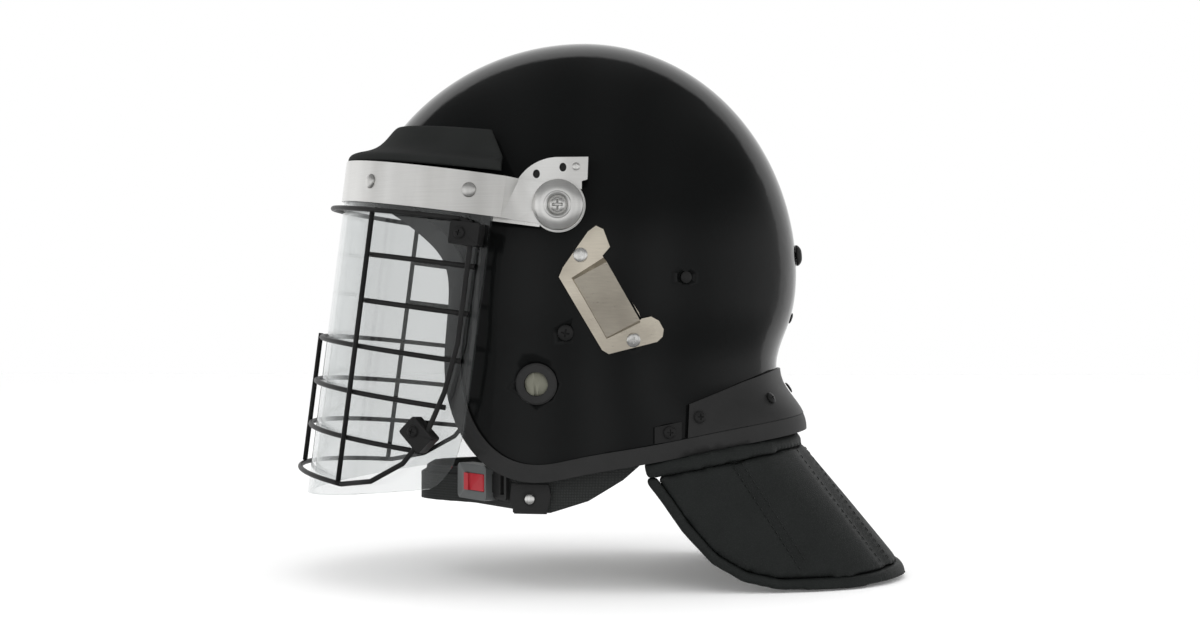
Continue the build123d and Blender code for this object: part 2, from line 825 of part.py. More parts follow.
# Band rivets, headed outside and closed inside
with BuildPart() as band_rivets:
    for angle in rivet_angles:
        outside = radial_plane(band_radius, angle, rivet_level)
        inside = radial_plane(inner_band_inner - rivet_tail_gap, angle, rivet_level)
        grip = band_radius - inner_band_inner + rivet_tail_gap
        add(button(outside, rivet_head_radius, rivet_head_height, rivet_shank_radius, grip))
        with BuildSketch(inside):
            Circle(rivet_tail_radius)
        extrude(amount=-rivet_tail_height)
hand_in(band_rivets, "band_rivets")

# Brow seal, a skirt from the band up to the shell that clears the shell all
# the way up its travel
def seal_body(inset):
    """The skirt's outside, or its inside where it is drawn in"""
    with BuildPart() as body:
        for level, half, front in zip(seal_levels, seal_half_widths, seal_fronts):
            with BuildSketch(visor_plane.offset(level - inset * seal_lap_share)):
                with BuildLine():
                    EllipticalCenterArc((0, 0), half - inset, front - inset, start_angle=180, arc_size=180)
                    Polyline((half - inset, 0), (half - inset, seal_tail), (inset - half, seal_tail),
                             (inset - half, 0))
                make_face()
        loft()
    return body.part


with BuildPart() as brow_seal:
    add(seal_body(0))
    add(seal_body(seal_thickness), mode=Mode.SUBTRACT)
    add(frame_prism([(seal_rear[0][0], 0)] + seal_rear
                    + [(seal_rear[-1][0], reach), (reach, reach), (reach, 0)]),
        mode=Mode.INTERSECT)
    swept = form(seal_gap)
    for turn in range(seal_turns + 1):
        add(swept.rotate(Axis((0, pivot_y, pivot_z), (1, 0, 0)), visor_range * turn / seal_turns),
            mode=Mode.SUBTRACT)
hand_in(brow_seal, "brow_seal")


# Wire cage
def hoop(radius, level, start, thick=wire_radius):
    """A wire bent round the visor's axis from one side to the other"""
    return wire_round(radius, level, start, 180 - start, thick)


def wire_round(radius, level, start, end, thick=wire_radius):
    """A wire bent round the visor's axis between two angles"""
    facing = radial_plane(radius, start, level)
    with BuildPart() as body:
        with BuildSketch(Plane(origin=facing.origin, x_dir=facing.z_dir, z_dir=facing.x_dir)):
            Circle(thick)
        revolve(axis=Axis(around(0, 0, level), visor_plane.z_dir), revolution_arc=start - end)
    return body.part


def wire_down(angle, head, foot):
    """A straight wire along the visor's axis"""
    with BuildPart() as body:
        foot_point = around(hoop_radius, angle, foot)
        with BuildSketch(Plane(origin=foot_point, x_dir=(1, 0, 0), z_dir=visor_plane.z_dir)):
            Circle(wire_radius)
        extrude(amount=head - foot)
    return body.part


def side_wire(radius):
    """The frame's side, from the top hoop round its corner and down to the bottom hoop"""
    points = [around(hoop_radius, angle, level) for angle, level in side_route]
    with BuildPart() as body:
        for here, onward in zip(points, points[1:]):
            with BuildSketch(Plane(origin=here, z_dir=onward - here)):
                Circle(radius)
            extrude(amount=(onward - here).length)
        with Locations(*points[1:-1]):
            Sphere(radius)
    return body.part


with BuildPart() as cage_top_wire:
    add(hoop(hoop_radius, cage_top, side_route[0][0] + weld_turn))
hand_in(cage_top_wire, "cage_top_wire")
with BuildPart() as cage_bottom_wire:
    add(hoop(hoop_radius, cage_foot, side_route[-1][0] + weld_turn))
hand_in(cage_bottom_wire, "cage_bottom_wire")
with BuildPart() as cage_side_wire_left:
    add(side_wire(wire_radius))
hand_in(cage_side_wire_left, "cage_side_wire_left")
with BuildPart() as cage_side_wire_right:
    add(other_side(cage_side_wire_left.part))
hand_in(cage_side_wire_right, "cage_side_wire_right")
upright_head = cage_top - wire_radius - weld_gap
upright_foot = cage_foot + wire_radius + weld_gap
with BuildPart() as cage_upright_left:
    add(wire_down(upright_angle, upright_head, upright_foot))
hand_in(cage_upright_left, "cage_upright_left")
with BuildPart() as cage_upright_right:
    add(other_side(cage_upright_left.part))
hand_in(cage_upright_right, "cage_upright_right")
with BuildPart() as cage_centre_bar:
    add(wire_down(90, bar_levels[2] + wire_radius, upright_foot))
hand_in(cage_centre_bar, "cage_centre_bar")
with BuildPart() as cage_short_bars:
    for level, start in zip(bar_levels[:2], bar_starts[:2]):
        add(wire_round(bar_radius, level, start, upright_angle + overrun))
    mirror(about=Plane.YZ)
hand_in(cage_short_bars, "cage_short_bars")
names = ["cage_upper_bar", "cage_middle_bar", "cage_lower_bar"]
for name, level, start in zip(names, bar_levels[2:], bar_starts[2:]):
    with BuildPart() as cage_bar:
        add(hoop(bar_radius, level, start))
    hand_in(cage_bar, name)

# Detent leaves inside the arms, each with the dimple that drops into the plate
leaf_face = plate_face + plate_thickness + leaf_lift
with BuildPart() as detent_leaves:
    with BuildSketch(Plane(origin=(leaf_face, pivot_y, pivot_z), x_dir=ahead * -1, z_dir=(1, 0, 0))):
        with Locations((-(leaf_start + leaf_end) / 2, leaf_drop)):
            Rectangle(leaf_end - leaf_start, leaf_height)
    extrude(amount=leaf_thickness)
    dimple_origin = (leaf_face - dimple_height, pivot_y, pivot_z)
    with BuildSketch(Plane(origin=dimple_origin, x_dir=ahead * -1, z_dir=(1, 0, 0))):
        with Locations((-detent_radius, 0)):
            Circle(dimple_radius)
    extrude(amount=dimple_height)
    mirror(about=Plane.YZ)
hand_in(detent_leaves, "detent_leaves")


# Cage clamps: blocks on the visor that grip the side wires, each with a bolt
with BuildPart() as inside_visor:
    with BuildSketch(visor_plane.offset(-reach)):
        with Locations((0, -band_centre)):
            Circle(visor_outer + pivot_clearance)
    extrude(amount=2 * reach)
wire_groove = side_wire(wire_radius + clamp_groove)
bar_groove = hoop(bar_radius, bar_levels[-1], bar_starts[-1] - weld_turn, wire_radius + clamp_groove)
with BuildPart() as cage_clamps:
    for place in clamp_places:
        with BuildSketch(clamp_seat(place).offset(-clamp_corner)):
            RectangleRounded(clamp_width, clamp_height, clamp_corner)
        extrude(amount=clamp_depth + clamp_corner)
    add(inside_visor.part, mode=Mode.SUBTRACT)
    add(wire_groove, mode=Mode.SUBTRACT)
    add(bar_groove, mode=Mode.SUBTRACT)
    for spot in bolt_seats:
        add(plug_cutter(spot, clamp_shank_radius + rivet_clearance, cutter_depth), mode=Mode.SUBTRACT)
    mirror(about=Plane.YZ)
hand_in(cage_clamps, "cage_clamps")
nut_drop = clamp_depth + visor_gap + visor_thickness + clamp_nut_gap
with BuildPart() as clamp_bolts:
    for spot in bolt_seats:
        add(button(spot, clamp_bolt_radius, clamp_bolt_height, clamp_shank_radius, nut_drop + clamp_nut_length))
    mirror(about=Plane.YZ)
hand_in(clamp_bolts, "clamp_bolts")
with BuildPart() as clamp_nuts:
    for spot in bolt_seats:
        with BuildSketch(spot.offset(-nut_drop - clamp_nut_length)):
            RegularPolygon(clamp_nut_radius, 6)
            Circle(clamp_shank_radius + pivot_clearance / 2, mode=Mode.SUBTRACT)
        extrude(amount=clamp_nut_length)
    mirror(about=Plane.YZ)
hand_in(clamp_nuts, "clamp_nuts")

# Mask hooks: a plate that follows the shell, with a pocket raised from it that
# is open towards the rear
hook_plane = turned(seat(*hook_centre, hook_gap), hook_turn)
hook_slope = atan2(hook_rise - hook_low, hook_pocket_width)


def hook_pocket(inset, past):
    """The pocket's outside, or its hollow where it is drawn in and runs past the mouth"""
    top = hook_plane.offset(hook_low - inset)
    slope_run = (hook_pocket_width + past) / cos(hook_slope)
    slope_plane = Plane(origin=top.from_local_coords((0, -hook_pocket_width / 2 + inset, 0)), x_dir=top.x_dir,
                        z_dir=hook_plane.z_dir * cos(hook_slope) - hook_plane.y_dir * sin(hook_slope))
    root_width = hook_pocket_width + hook_draft / 2 + past - inset
    with BuildPart() as body:
        with BuildSketch(hook_plane.offset(-hook_root)):
            with Locations((0, hook_pocket_width / 2 + past - root_width / 2)):
                Rectangle(hook_pocket_length + 2 * hook_draft - 2 * inset, root_width)
        with BuildSketch(slope_plane):
            with Locations((0, slope_run / 2)):
                Rectangle(hook_pocket_length - 2 * inset, slope_run)
        loft(ruled=True)
    return body.part


with BuildPart() as mask_hook_left:
    add(form(hook_gap + hook_thickness))
    add(side_prism(hook_outline), mode=Mode.INTERSECT)
    split(bisect_by=Plane.YZ, keep=Keep.TOP)
    add(hook_pocket(0, 0))
    add(hook_pocket(hook_thickness, overrun), mode=Mode.SUBTRACT)
    add(form(hook_gap), mode=Mode.SUBTRACT)
    for place in hook_screw_seats:
        add(plug_cutter(place, hook_screw_shank + hole_clearance, cutter_depth), mode=Mode.SUBTRACT)
hand_in(mask_hook_left, "mask_hook_left")
with BuildPart() as mask_hook_right:
    add(other_side(mask_hook_left.part))
hand_in(mask_hook_right, "mask_hook_right")
with BuildPart() as mask_hook_screws:
    for place in hook_screw_seats:
        add(button(place.offset(fastener_lift), hook_screw_radius, hook_screw_height, hook_screw_shank,
                   shell_wall + hook_thickness + hook_gap))
    mirror(about=Plane.YZ)
hand_in(mask_hook_screws, "mask_hook_screws")

# Screws that anchor the chin harness
with BuildPart() as strap_anchor_screws:
    add(button(anchor_seat.offset(fastener_lift), anchor_radius, anchor_height, anchor_shank, anchor_length))
    mirror(about=Plane.YZ)
hand_in(strap_anchor_screws, "strap_anchor_screws")

# Small rivets in the shell's sides and back
with BuildPart() as shell_rivets:
    add(button(side_rivet_seat.offset(fastener_lift), side_rivet_radius, side_rivet_height, anchor_shank,
               fastener_shank))
    mirror(about=Plane.YZ)
    add(button(rear_rivet_seat.offset(fastener_lift), side_rivet_radius, side_rivet_height, anchor_shank,
               fastener_shank))
hand_in(shell_rivets, "shell_rivets")

# Plug at the back
with BuildPart() as rear_plug:
    add(button(plug_seat.offset(plug_lift), plug_radius, plug_height, anchor_shank, fastener_shank))
hand_in(rear_plug, "rear_plug")

# Ear grommets and the vents they hold
grommet_frame = Plane(origin=grommet_seat.origin, x_dir=grommet_seat.x_dir, z_dir=-grommet_seat.y_dir)
sleeve = grommet_inner + trim_wall
with BuildPart() as ear_grommets:
    with BuildSketch(grommet_frame):
        Polygon((grommet_inner, -shell_wall), (grommet_radius, -shell_wall),
                (grommet_radius, grommet_height - trim_wall / 2),
                (grommet_radius - trim_wall / 2, grommet_height), (grommet_inner, grommet_height), align=None)
    revolve(axis=Axis(grommet_seat.origin, grommet_seat.z_dir))
    add(base_form, mode=Mode.SUBTRACT)
    with BuildSketch(grommet_seat.offset(-shell_wall)):
        Circle(sleeve)
        Circle(grommet_inner, mode=Mode.SUBTRACT)
    extrude(amount=shell_wall + base_gap + fastener_lift)
    mirror(about=Plane.YZ)
hand_in(ear_grommets, "ear_grommets")
with BuildPart() as ear_vents:
    with BuildSketch(grommet_seat.offset(-shell_wall)):
        Circle(grommet_inner - disc_gap)
    extrude(amount=shell_wall + disc_height)
    mirror(about=Plane.YZ)
hand_in(ear_vents, "ear_vents")

# Neck strip round the flared back
with BuildPart() as neck_strip:
    add(form(strip_grow))
    add(side_prism(strip_outline), mode=Mode.INTERSECT)
    add(above_trim, mode=Mode.INTERSECT)
    add(base_form, mode=Mode.SUBTRACT)
    for place in strip_seats:
        cutter = plug_cutter(place, anchor_shank + hole_clearance, cutter_depth)
        add(cutter, mode=Mode.SUBTRACT)
        add(other_side(cutter), mode=Mode.SUBTRACT)
    for place in stud_seats:
        add(plug_cutter(place, anchor_shank + hole_clearance, cutter_depth), mode=Mode.SUBTRACT)
hand_in(neck_strip, "neck_strip")

# Clips in front of the strip's ends
clip_grow = base_gap + clip_thickness
with BuildPart() as strip_clips:
    add(form(clip_grow))
    add(side_prism(clip_outline), mode=Mode.INTERSECT)
    add(above_trim, mode=Mode.INTERSECT)
    add(base_form, mode=Mode.SUBTRACT)
    cutter = plug_cutter(clip_seat, anchor_shank + hole_clearance, cutter_depth)
    add(cutter, mode=Mode.SUBTRACT)
    add(other_side(cutter), mode=Mode.SUBTRACT)
hand_in(strip_clips, "strip_clips")

# Screws of the strip and its clips
with BuildPart() as neck_strip_screws:
    for place in strip_seats + [clip_seat.offset(clip_thickness)]:
        add(button(place.offset(fastener_lift), strip_screw_radius, strip_screw_height, anchor_shank,
                   shell_wall + strip_thickness))
    mirror(about=Plane.YZ)
    for place in stud_seats:
        add(button(place.offset(fastener_lift), strip_screw_radius, strip_screw_height, anchor_shank,
                   shell_wall + strip_thickness))
hand_in(neck_strip_screws, "neck_strip_screws")

# Neck guard: a padded apron that hangs from the rim round the back
def guard_plan(level, points, inset, depth):
    """One level section of the apron between two depths below its outer face"""
    across = points + [(-x, y) for x, y in reversed(points[:-1])]
    outer = moved_in(across, inset)
    inner = moved_in(across, depth)
    with BuildSketch(Plane.XY.offset(level)) as section:
        with BuildLine():
            Spline(*outer)
            Polyline(outer[-1], inner[-1])
            Spline(*inner)
            Polyline(inner[0], outer[0])
        make_face()
    return section.sketch


def apron(inset, depth):
    """The whole apron as one slanting wall, before it is cut to its outline"""
    with BuildPart() as body:
        add(guard_plan(guard_top_level, guard_top, inset, depth))
        add(guard_plan(guard_foot_level, guard_foot, inset, depth))
        loft()
    return body.part


under_rim = kept_side(-guard_gap)
under_roll = kept_side(-guard_gap - roll_height)
under_seam = kept_side(-guard_gap - roll_height - guard_gap)
panel_outline = side_prism(moved_in(guard_outline, piping_width))
with BuildPart() as neck_guard_roll:
    add(apron(-roll_swell, guard_thickness + roll_swell))
    add(side_prism(guard_outline), mode=Mode.INTERSECT)
    add(under_roll, mode=Mode.INTERSECT)
    add(under_rim, mode=Mode.SUBTRACT)
hand_in(neck_guard_roll, "neck_guard_roll")
with BuildPart() as neck_guard:
    add(apron(piping_swell, guard_thickness - piping_swell))
    add(panel_outline, mode=Mode.INTERSECT)
    add(under_seam, mode=Mode.SUBTRACT)
hand_in(neck_guard, "neck_guard")
with BuildPart() as neck_guard_piping:
    add(apron(0, guard_thickness))
    add(side_prism(guard_outline), mode=Mode.INTERSECT)
    add(under_seam, mode=Mode.SUBTRACT)
    add(side_prism(moved_in(guard_outline, piping_width - guard_gap)), mode=Mode.SUBTRACT)
hand_in(neck_guard_piping, "neck_guard_piping")

# Chin harness: a yoke of webbing each side, from its anchor screw down to the
# junction and back up inside the rim
junction_seat = seat(*junction_place, yoke_inside)
rivet_seat = junction_seat.offset(junction_lift + junction_thickness)
with BuildPart() as strap_yokes:
    add(form(yoke_inside))
    add(side_prism(yoke_outline), mode=Mode.INTERSECT)
    add(form(yoke_inside - yoke_thickness), mode=Mode.SUBTRACT)
    for place in [anchor_seat, junction_seat]:
        cutter = plug_cutter(place, anchor_shank + hole_clearance, cutter_depth)
        add(cutter, mode=Mode.SUBTRACT)
        add(other_side(cutter), mode=Mode.SUBTRACT)
hand_in(strap_yokes, "strap_yokes")
with BuildPart() as strap_junctions:
    add(form(yoke_inside + junction_lift + junction_thickness))
    add(side_prism(junction_outline), mode=Mode.INTERSECT)
    add(form(yoke_inside + junction_lift), mode=Mode.SUBTRACT)
    add(kept_side(-guard_gap), mode=Mode.SUBTRACT)
    spot_face = plug_cutter(rivet_seat.offset(cutter_depth), junction_rivet_radius + hole_clearance,
                            cutter_depth)
    for cutter in [plug_cutter(junction_seat, anchor_shank + hole_clearance, cutter_depth), spot_face]:
        add(cutter, mode=Mode.SUBTRACT)
        add(other_side(cutter), mode=Mode.SUBTRACT)
hand_in(strap_junctions, "strap_junctions")
with BuildPart() as junction_rivets:
    add(button(rivet_seat.offset(fastener_lift), junction_rivet_radius, junction_rivet_height,
               junction_rivet_shank, junction_thickness + yoke_thickness + anchor_shank))
    mirror(about=Plane.YZ)
hand_in(junction_rivets, "junction_rivets")


# Chin strap: one band from junction to junction, round the front of the cup
def chin_band(route, outside, inside, low, high):
    """A wall that follows the strap's middle line, between two depths inside it and two heights"""
    with BuildPart() as body:
        with BuildSketch(Plane.XY.offset(low)):
            with BuildLine():
                outer = FilletPolyline(*moved_in(route, -outside), radius=chin_corner - outside)
                inner = FilletPolyline(*moved_in(route, -inside), radius=chin_corner - inside)
                Polyline(outer @ 0, inner @ 0)
                Polyline(outer @ 1, inner @ 1)
            make_face()
        extrude(amount=high - low)
    return body.part


half_webbing = yoke_thickness / 2
junction_cutter = plug_cutter(junction_seat, anchor_shank + hole_clearance, cutter_depth)
with BuildPart() as chin_strap:
    add(chin_band(chin_route, -half_webbing, half_webbing, chin_strap_level - chin_strap_width / 2,
                  chin_strap_level + chin_strap_width / 2))
    add(junction_cutter, mode=Mode.SUBTRACT)
    add(other_side(junction_cutter), mode=Mode.SUBTRACT)
hand_in(chin_strap, "chin_strap")
run_start = Vector(*chin_route[2])
run = Vector(*chin_route[1]) - run_start
cup_end = run_start + run * cup_end_share
cup_route = [(cup_end.X, cup_end.Y)] + chin_route[2:-2] + [(-cup_end.X, cup_end.Y)]
with BuildPart() as chin_cup:
    add(chin_band(cup_route, half_webbing + cup_gap, half_webbing + cup_gap + cup_thickness,
                  cup_foot, cup_foot + cup_height))
    faces_by_height = chin_cup.faces().sort_by(Axis.Z)
    fillet(faces_by_height[0].edges() + faces_by_height[-1].edges(), cup_edge)
hand_in(chin_cup, "chin_cup")

# Buckle on the left run of the strap: a housing, a lever that opens it and
# the tongue it holds. The plane lies on the strap's outer face
outward = Vector(run.Y, -run.X).normalized()
buckle_middle = run_start + run * buckle_share + outward * (half_webbing + cup_gap)
strap_face = Plane(origin=(buckle_middle.X, buckle_middle.Y, buckle_level), x_dir=run, z_dir=outward)
lever_pivot = housing_length / 2 - housing_wall - lever_thickness / 2 - lever_gap
lever_axis_height = housing_depth - lever_thickness / 2
lever_plane = Plane(origin=strap_face.from_local_coords((lever_pivot, 0, lever_axis_height)),
                    x_dir=strap_face.x_dir, z_dir=strap_face.y_dir)
with BuildPart() as buckle_housing:
    with BuildSketch(strap_face):
        RectangleRounded(housing_length, housing_height, housing_corner)
    extrude(amount=housing_depth)
    with BuildSketch(strap_face.offset(housing_depth)):
        with Locations((lever_pivot + lever_thickness / 2 + lever_gap - lever_length / 2 - lever_gap, 0)):
            Rectangle(lever_length + 2 * lever_gap, lever_height + 2 * lever_gap)
    extrude(amount=-lever_thickness - lever_gap, mode=Mode.SUBTRACT)
    with BuildSketch(lever_plane.offset(-lever_height / 2 - lever_pin_length - lever_gap)):
        Circle(lever_pin_radius + lever_gap)
    extrude(amount=lever_height + 2 * lever_pin_length + 2 * lever_gap, mode=Mode.SUBTRACT)
    with BuildSketch(strap_face.offset(housing_wall - tongue_gap)):
        with Locations((housing_length / 2 - tongue_nose / 2, 0)):
            Rectangle(tongue_nose + 2 * tongue_gap, tongue_nose_height + 2 * tongue_gap)
    extrude(amount=tongue_thickness + 2 * tongue_gap, mode=Mode.SUBTRACT)
hand_in(buckle_housing, "buckle_housing")
with BuildPart() as buckle_lever:
    with BuildSketch(lever_plane.offset(-lever_height / 2)):
        Circle(lever_thickness / 2)
        with Locations(((lever_thickness / 2 - lever_length) / 2, 0)):
            Rectangle(lever_length - lever_thickness / 2, lever_thickness)
        with Locations((lever_thickness / 2 - lever_length + lever_grip_length / 2, -lever_thickness / 2)):
            Rectangle(lever_grip_length, 2 * lever_lift)
    extrude(amount=lever_height)
    with BuildSketch(lever_plane.offset(-lever_height / 2 - lever_pin_length)):
        Circle(lever_pin_radius)
    extrude(amount=lever_height + 2 * lever_pin_length)
hand_in(buckle_lever, "buckle_lever")
with BuildPart() as buckle_tongue:
    with BuildSketch(strap_face.offset(housing_wall)):
        with Locations((housing_length / 2 + tongue_length / 2 + 2 * tongue_gap, 0)):
            RectangleRounded(tongue_length, tongue_height, housing_wall)
        with Locations((housing_length / 2 - tongue_nose / 2 + housing_wall, 0)):
            Rectangle(tongue_nose + housing_wall, tongue_nose_height)
        with Locations((housing_length / 2 + tongue_length - tongue_slot_length, 0)):
            Rectangle(tongue_slot_length, tongue_slot_height, mode=Mode.SUBTRACT)
    extrude(amount=tongue_thickness)
hand_in(buckle_tongue, "buckle_tongue")
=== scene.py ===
"""Police riot helmet: the looks of its pieces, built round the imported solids."""

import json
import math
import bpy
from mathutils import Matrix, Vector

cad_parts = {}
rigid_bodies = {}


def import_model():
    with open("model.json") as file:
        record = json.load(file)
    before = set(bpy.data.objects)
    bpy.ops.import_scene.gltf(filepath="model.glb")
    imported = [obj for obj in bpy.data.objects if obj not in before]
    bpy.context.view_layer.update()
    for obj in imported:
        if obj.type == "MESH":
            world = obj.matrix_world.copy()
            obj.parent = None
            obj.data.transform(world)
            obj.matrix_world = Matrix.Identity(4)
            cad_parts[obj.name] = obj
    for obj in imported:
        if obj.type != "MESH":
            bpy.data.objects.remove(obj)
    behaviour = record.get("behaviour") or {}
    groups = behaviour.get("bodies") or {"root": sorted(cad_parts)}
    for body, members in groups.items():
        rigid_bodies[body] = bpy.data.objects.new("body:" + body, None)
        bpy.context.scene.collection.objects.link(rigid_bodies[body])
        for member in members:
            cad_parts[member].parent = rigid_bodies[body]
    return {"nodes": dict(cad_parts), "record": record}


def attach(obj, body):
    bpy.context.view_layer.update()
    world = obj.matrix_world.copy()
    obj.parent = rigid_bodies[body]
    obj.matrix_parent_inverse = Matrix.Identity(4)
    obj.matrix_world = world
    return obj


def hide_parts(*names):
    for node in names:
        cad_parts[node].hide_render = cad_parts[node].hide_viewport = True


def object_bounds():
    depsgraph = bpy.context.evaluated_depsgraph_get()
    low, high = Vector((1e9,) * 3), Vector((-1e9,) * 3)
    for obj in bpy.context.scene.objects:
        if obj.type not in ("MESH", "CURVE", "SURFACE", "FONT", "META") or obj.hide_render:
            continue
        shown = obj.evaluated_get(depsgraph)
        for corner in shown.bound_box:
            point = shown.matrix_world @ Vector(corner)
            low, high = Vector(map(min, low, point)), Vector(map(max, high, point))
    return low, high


bl_info = {
    "name": "Riot helmet looks",
    "version": (1, 0, 0),
    "blender": (4, 5, 0),
    "location": "3D View > Sidebar > Helmet",
    "description": "Builds the visible pieces and finishes of a riot helmet round its packed solids",
    "category": "Object",
}

import bmesh
import bpy
from mathutils import Vector
from mathutils.bvhtree import BVHTree

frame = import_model()
packed_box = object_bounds()
record = frame["record"]
body_of_node = {node: body for body, nodes in record["behaviour"]["bodies"].items() for node in nodes}
slot_of_node = {entry["node"]: entry["material_slot"] for entry in record["subparts"]}

# Fixed sizes. Lengths are in metres, or in millimetres times this
millimetre = 0.001
join_distance = 0.002 * millimetre
floor_drop = 1 * millimetre
floor_reach = 4

# Edges that turn more than this many degrees stay sharp when a piece is shaded smooth
folded_edges = 12
plate_edges = 30
head_edges = 35
rubber_edges = 40
shell_edges = 50
wire_edges = 55
seal_edges = 60
no_edges = 180

# Stuffing: the cloth's inner pressure, the frames that it runs and its steps in each frame
stuffing_pressure = 4
stuffing_frames = 13
stuffing_quality = 4

# Heads of the fasteners: radius and height in millimetres, and the share of the head that its recess takes
screw_heads = {
    "index_plate_screws": (2.3, 0.9, 0.52),
    "clamp_bolts": (3.3, 2, 0.5),
    "mask_hook_screws": (4.2, 1.6, 0.52),
    "strap_anchor_screws": (4.6, 1.8, 0.52),
    "neck_strip_screws": (3.6, 1.4, 0.52),
}
rivet_heads = {
    "band_rivets": (4.3, 1.9),
    "shell_rivets": (3.4, 1.2),
    "junction_rivets": (3, 1.2),
}

# A head's recess is turned to lie square to this direction
recess_guide = Vector((0.35, 0.2, 1))

# The polished ring round each pivot screw
ring_radius = 7.1 * millimetre
ring_thickness = 0.75 * millimetre

# Seams of the neck guard, seen from the side: each a row of places along Y and Z
guard_seams = [((0.0905, -0.214), (0.133, -0.279)), ((0.124, -0.2), (0.186, -0.283))]
beside_seam = Vector((0.0022, 0.0015))
seam_probe = 0.3
stitch_lift = 0.25 * millimetre
panel_growth = 0.4 * millimetre
edge_growth = 0.3 * millimetre

# The camera stands level with the helmet's middle, on its left and a little to the back
camera_target = Vector((0, 0.010, -0.132))
camera_distance = 1.2
camera_turn = math.radians(2.5)
camera_lens = 57.14
camera_sensor = 36
camera_near = 0.01

# Lamps: place, size and power
lamps = {
    "top lamp": ((0.35, -0.25, 1.5), 1.6, 5),
    "front lamp": ((0.9, -1.4, 0.35), 1.1, 5),
    "rear lamp": ((0.3, 1.5, 0.4), 1.1, 3),
    "side lamp": ((1.7, 0.35, 0.9), 0.9, 4),
}
lamp_aim = (0, 0, -0.13)

# The mirrored room: the white wall's soft edge, the slopes between which the room darkens, and its stripes
wall_softness = 0.04
room_slopes = (0.12, 0.5)
room_stripes = 13
stripe_depth = 0.18


# Sizes and colours that can be changed
class HelmetColours(bpy.types.PropertyGroup):
    """Colours of the helmet's finishes"""
    shell: bpy.props.FloatVectorProperty(
        name="Shell", description="Gloss paint of the shell", subtype="COLOR",
        default=(0.0045, 0.0048, 0.0048))
    rubber: bpy.props.FloatVectorProperty(
        name="Rubber", description="Edge trim and grommets", subtype="COLOR", default=(0.022, 0.022, 0.022))
    seal: bpy.props.FloatVectorProperty(
        name="Seal", description="Foam rubber over the brow", subtype="COLOR", default=(0.014, 0.015, 0.0145))
    steel: bpy.props.FloatVectorProperty(
        name="Steel", description="Brushed steel", subtype="COLOR", default=(0.86, 0.85, 0.82))
    warm_steel: bpy.props.FloatVectorProperty(
        name="Warm steel", description="Stamped steel of the mask hooks", subtype="COLOR",
        default=(0.7, 0.62, 0.52))
    wire: bpy.props.FloatVectorProperty(
        name="Wire", description="Powder coat of the cage", subtype="COLOR", default=(0.012, 0.012, 0.012))
    visor: bpy.props.FloatVectorProperty(
        name="Visor", description="Tint of the clear visor", subtype="COLOR", default=(0.79, 0.8, 0.8))
    leatherette: bpy.props.FloatVectorProperty(
        name="Leatherette", description="Cover of the neck guard", subtype="COLOR",
        default=(0.013, 0.0145, 0.014))
    webbing: bpy.props.FloatVectorProperty(
        name="Webbing", description="Straps of the chin harness", subtype="COLOR",
        default=(0.016, 0.018, 0.017))
    lining: bpy.props.FloatVectorProperty(
        name="Lining", description="Cloth of the comfort pads", subtype="COLOR", default=(0.2, 0.185, 0.15))
    foam: bpy.props.FloatVectorProperty(
        name="Foam", description="Impact liner", subtype="COLOR", default=(0.1, 0.098, 0.085))
    nylon: bpy.props.FloatVectorProperty(
        name="Nylon", description="Moulded black parts", subtype="COLOR", default=(0.018, 0.018, 0.018))
    buckle: bpy.props.FloatVectorProperty(
        name="Buckle", description="Moulded buckle", subtype="COLOR", default=(0.09, 0.095, 0.095))
    lever: bpy.props.FloatVectorProperty(
        name="Lever", description="Release lever", subtype="COLOR", default=(0.4, 0.025, 0.035))
    vent: bpy.props.FloatVectorProperty(
        name="Vent", description="Disc in the ear grommet", subtype="COLOR", default=(0.15, 0.15, 0.12))


class HelmetSizes(bpy.types.PropertyGroup):
    """Sizes of the helmet's details"""
    stitch: bpy.props.FloatProperty(
        name="Stitch", description="Length of one stitch", default=0.0026, subtype="DISTANCE", unit="LENGTH")
    stitch_gap: bpy.props.FloatProperty(
        name="Stitch gap", description="Gap between stitches", default=0.0013, subtype="DISTANCE",
        unit="LENGTH")
    thread: bpy.props.FloatProperty(
        name="Thread", description="Thickness of the thread", default=0.0005, subtype="DISTANCE",
        unit="LENGTH")
    grain: bpy.props.FloatProperty(
        name="Grain", description="Width of a pebble of the leatherette", default=0.0011, subtype="DISTANCE",
        unit="LENGTH")
    voxel: bpy.props.FloatProperty(
        name="Voxel", description="Mesh size of the padded pieces", default=0.0045, subtype="DISTANCE",
        unit="LENGTH")
    swell: bpy.props.FloatProperty(
        name="Swell", description="How far padding may swell", default=0.002, subtype="DISTANCE",
        unit="LENGTH")
    seam_depth: bpy.props.FloatProperty(
        name="Seam depth", description="How deep a seam presses into the padding", default=0.0016,
        subtype="DISTANCE", unit="LENGTH")
    seam_reach: bpy.props.FloatProperty(
        name="Seam reach", description="How far from a seam the padding is drawn in", default=0.003,
        subtype="DISTANCE", unit="LENGTH")
    backdrop: bpy.props.FloatProperty(
        name="Backdrop", description="How far behind the helmet the bright wall reaches round", default=0.6)
    ambient: bpy.props.FloatProperty(
        name="Ambient", description="Brightness of the light that falls on matt surfaces", default=1.0)
    floor_glow: bpy.props.FloatProperty(
        name="Floor glow", description="Light of the floor's own that hides its far edge", default=0.09)
    gloss: bpy.props.FloatProperty(
        name="Gloss", description="Refractive index of the black surfaces, which sets how much they mirror",
        default=1.22)
    room: bpy.props.FloatProperty(
        name="Room", description="Brightness of the room at eye level", default=0.95)
    gloom: bpy.props.FloatProperty(
        name="Gloom", description="Brightness of the room's ceiling and ground", default=0.22)


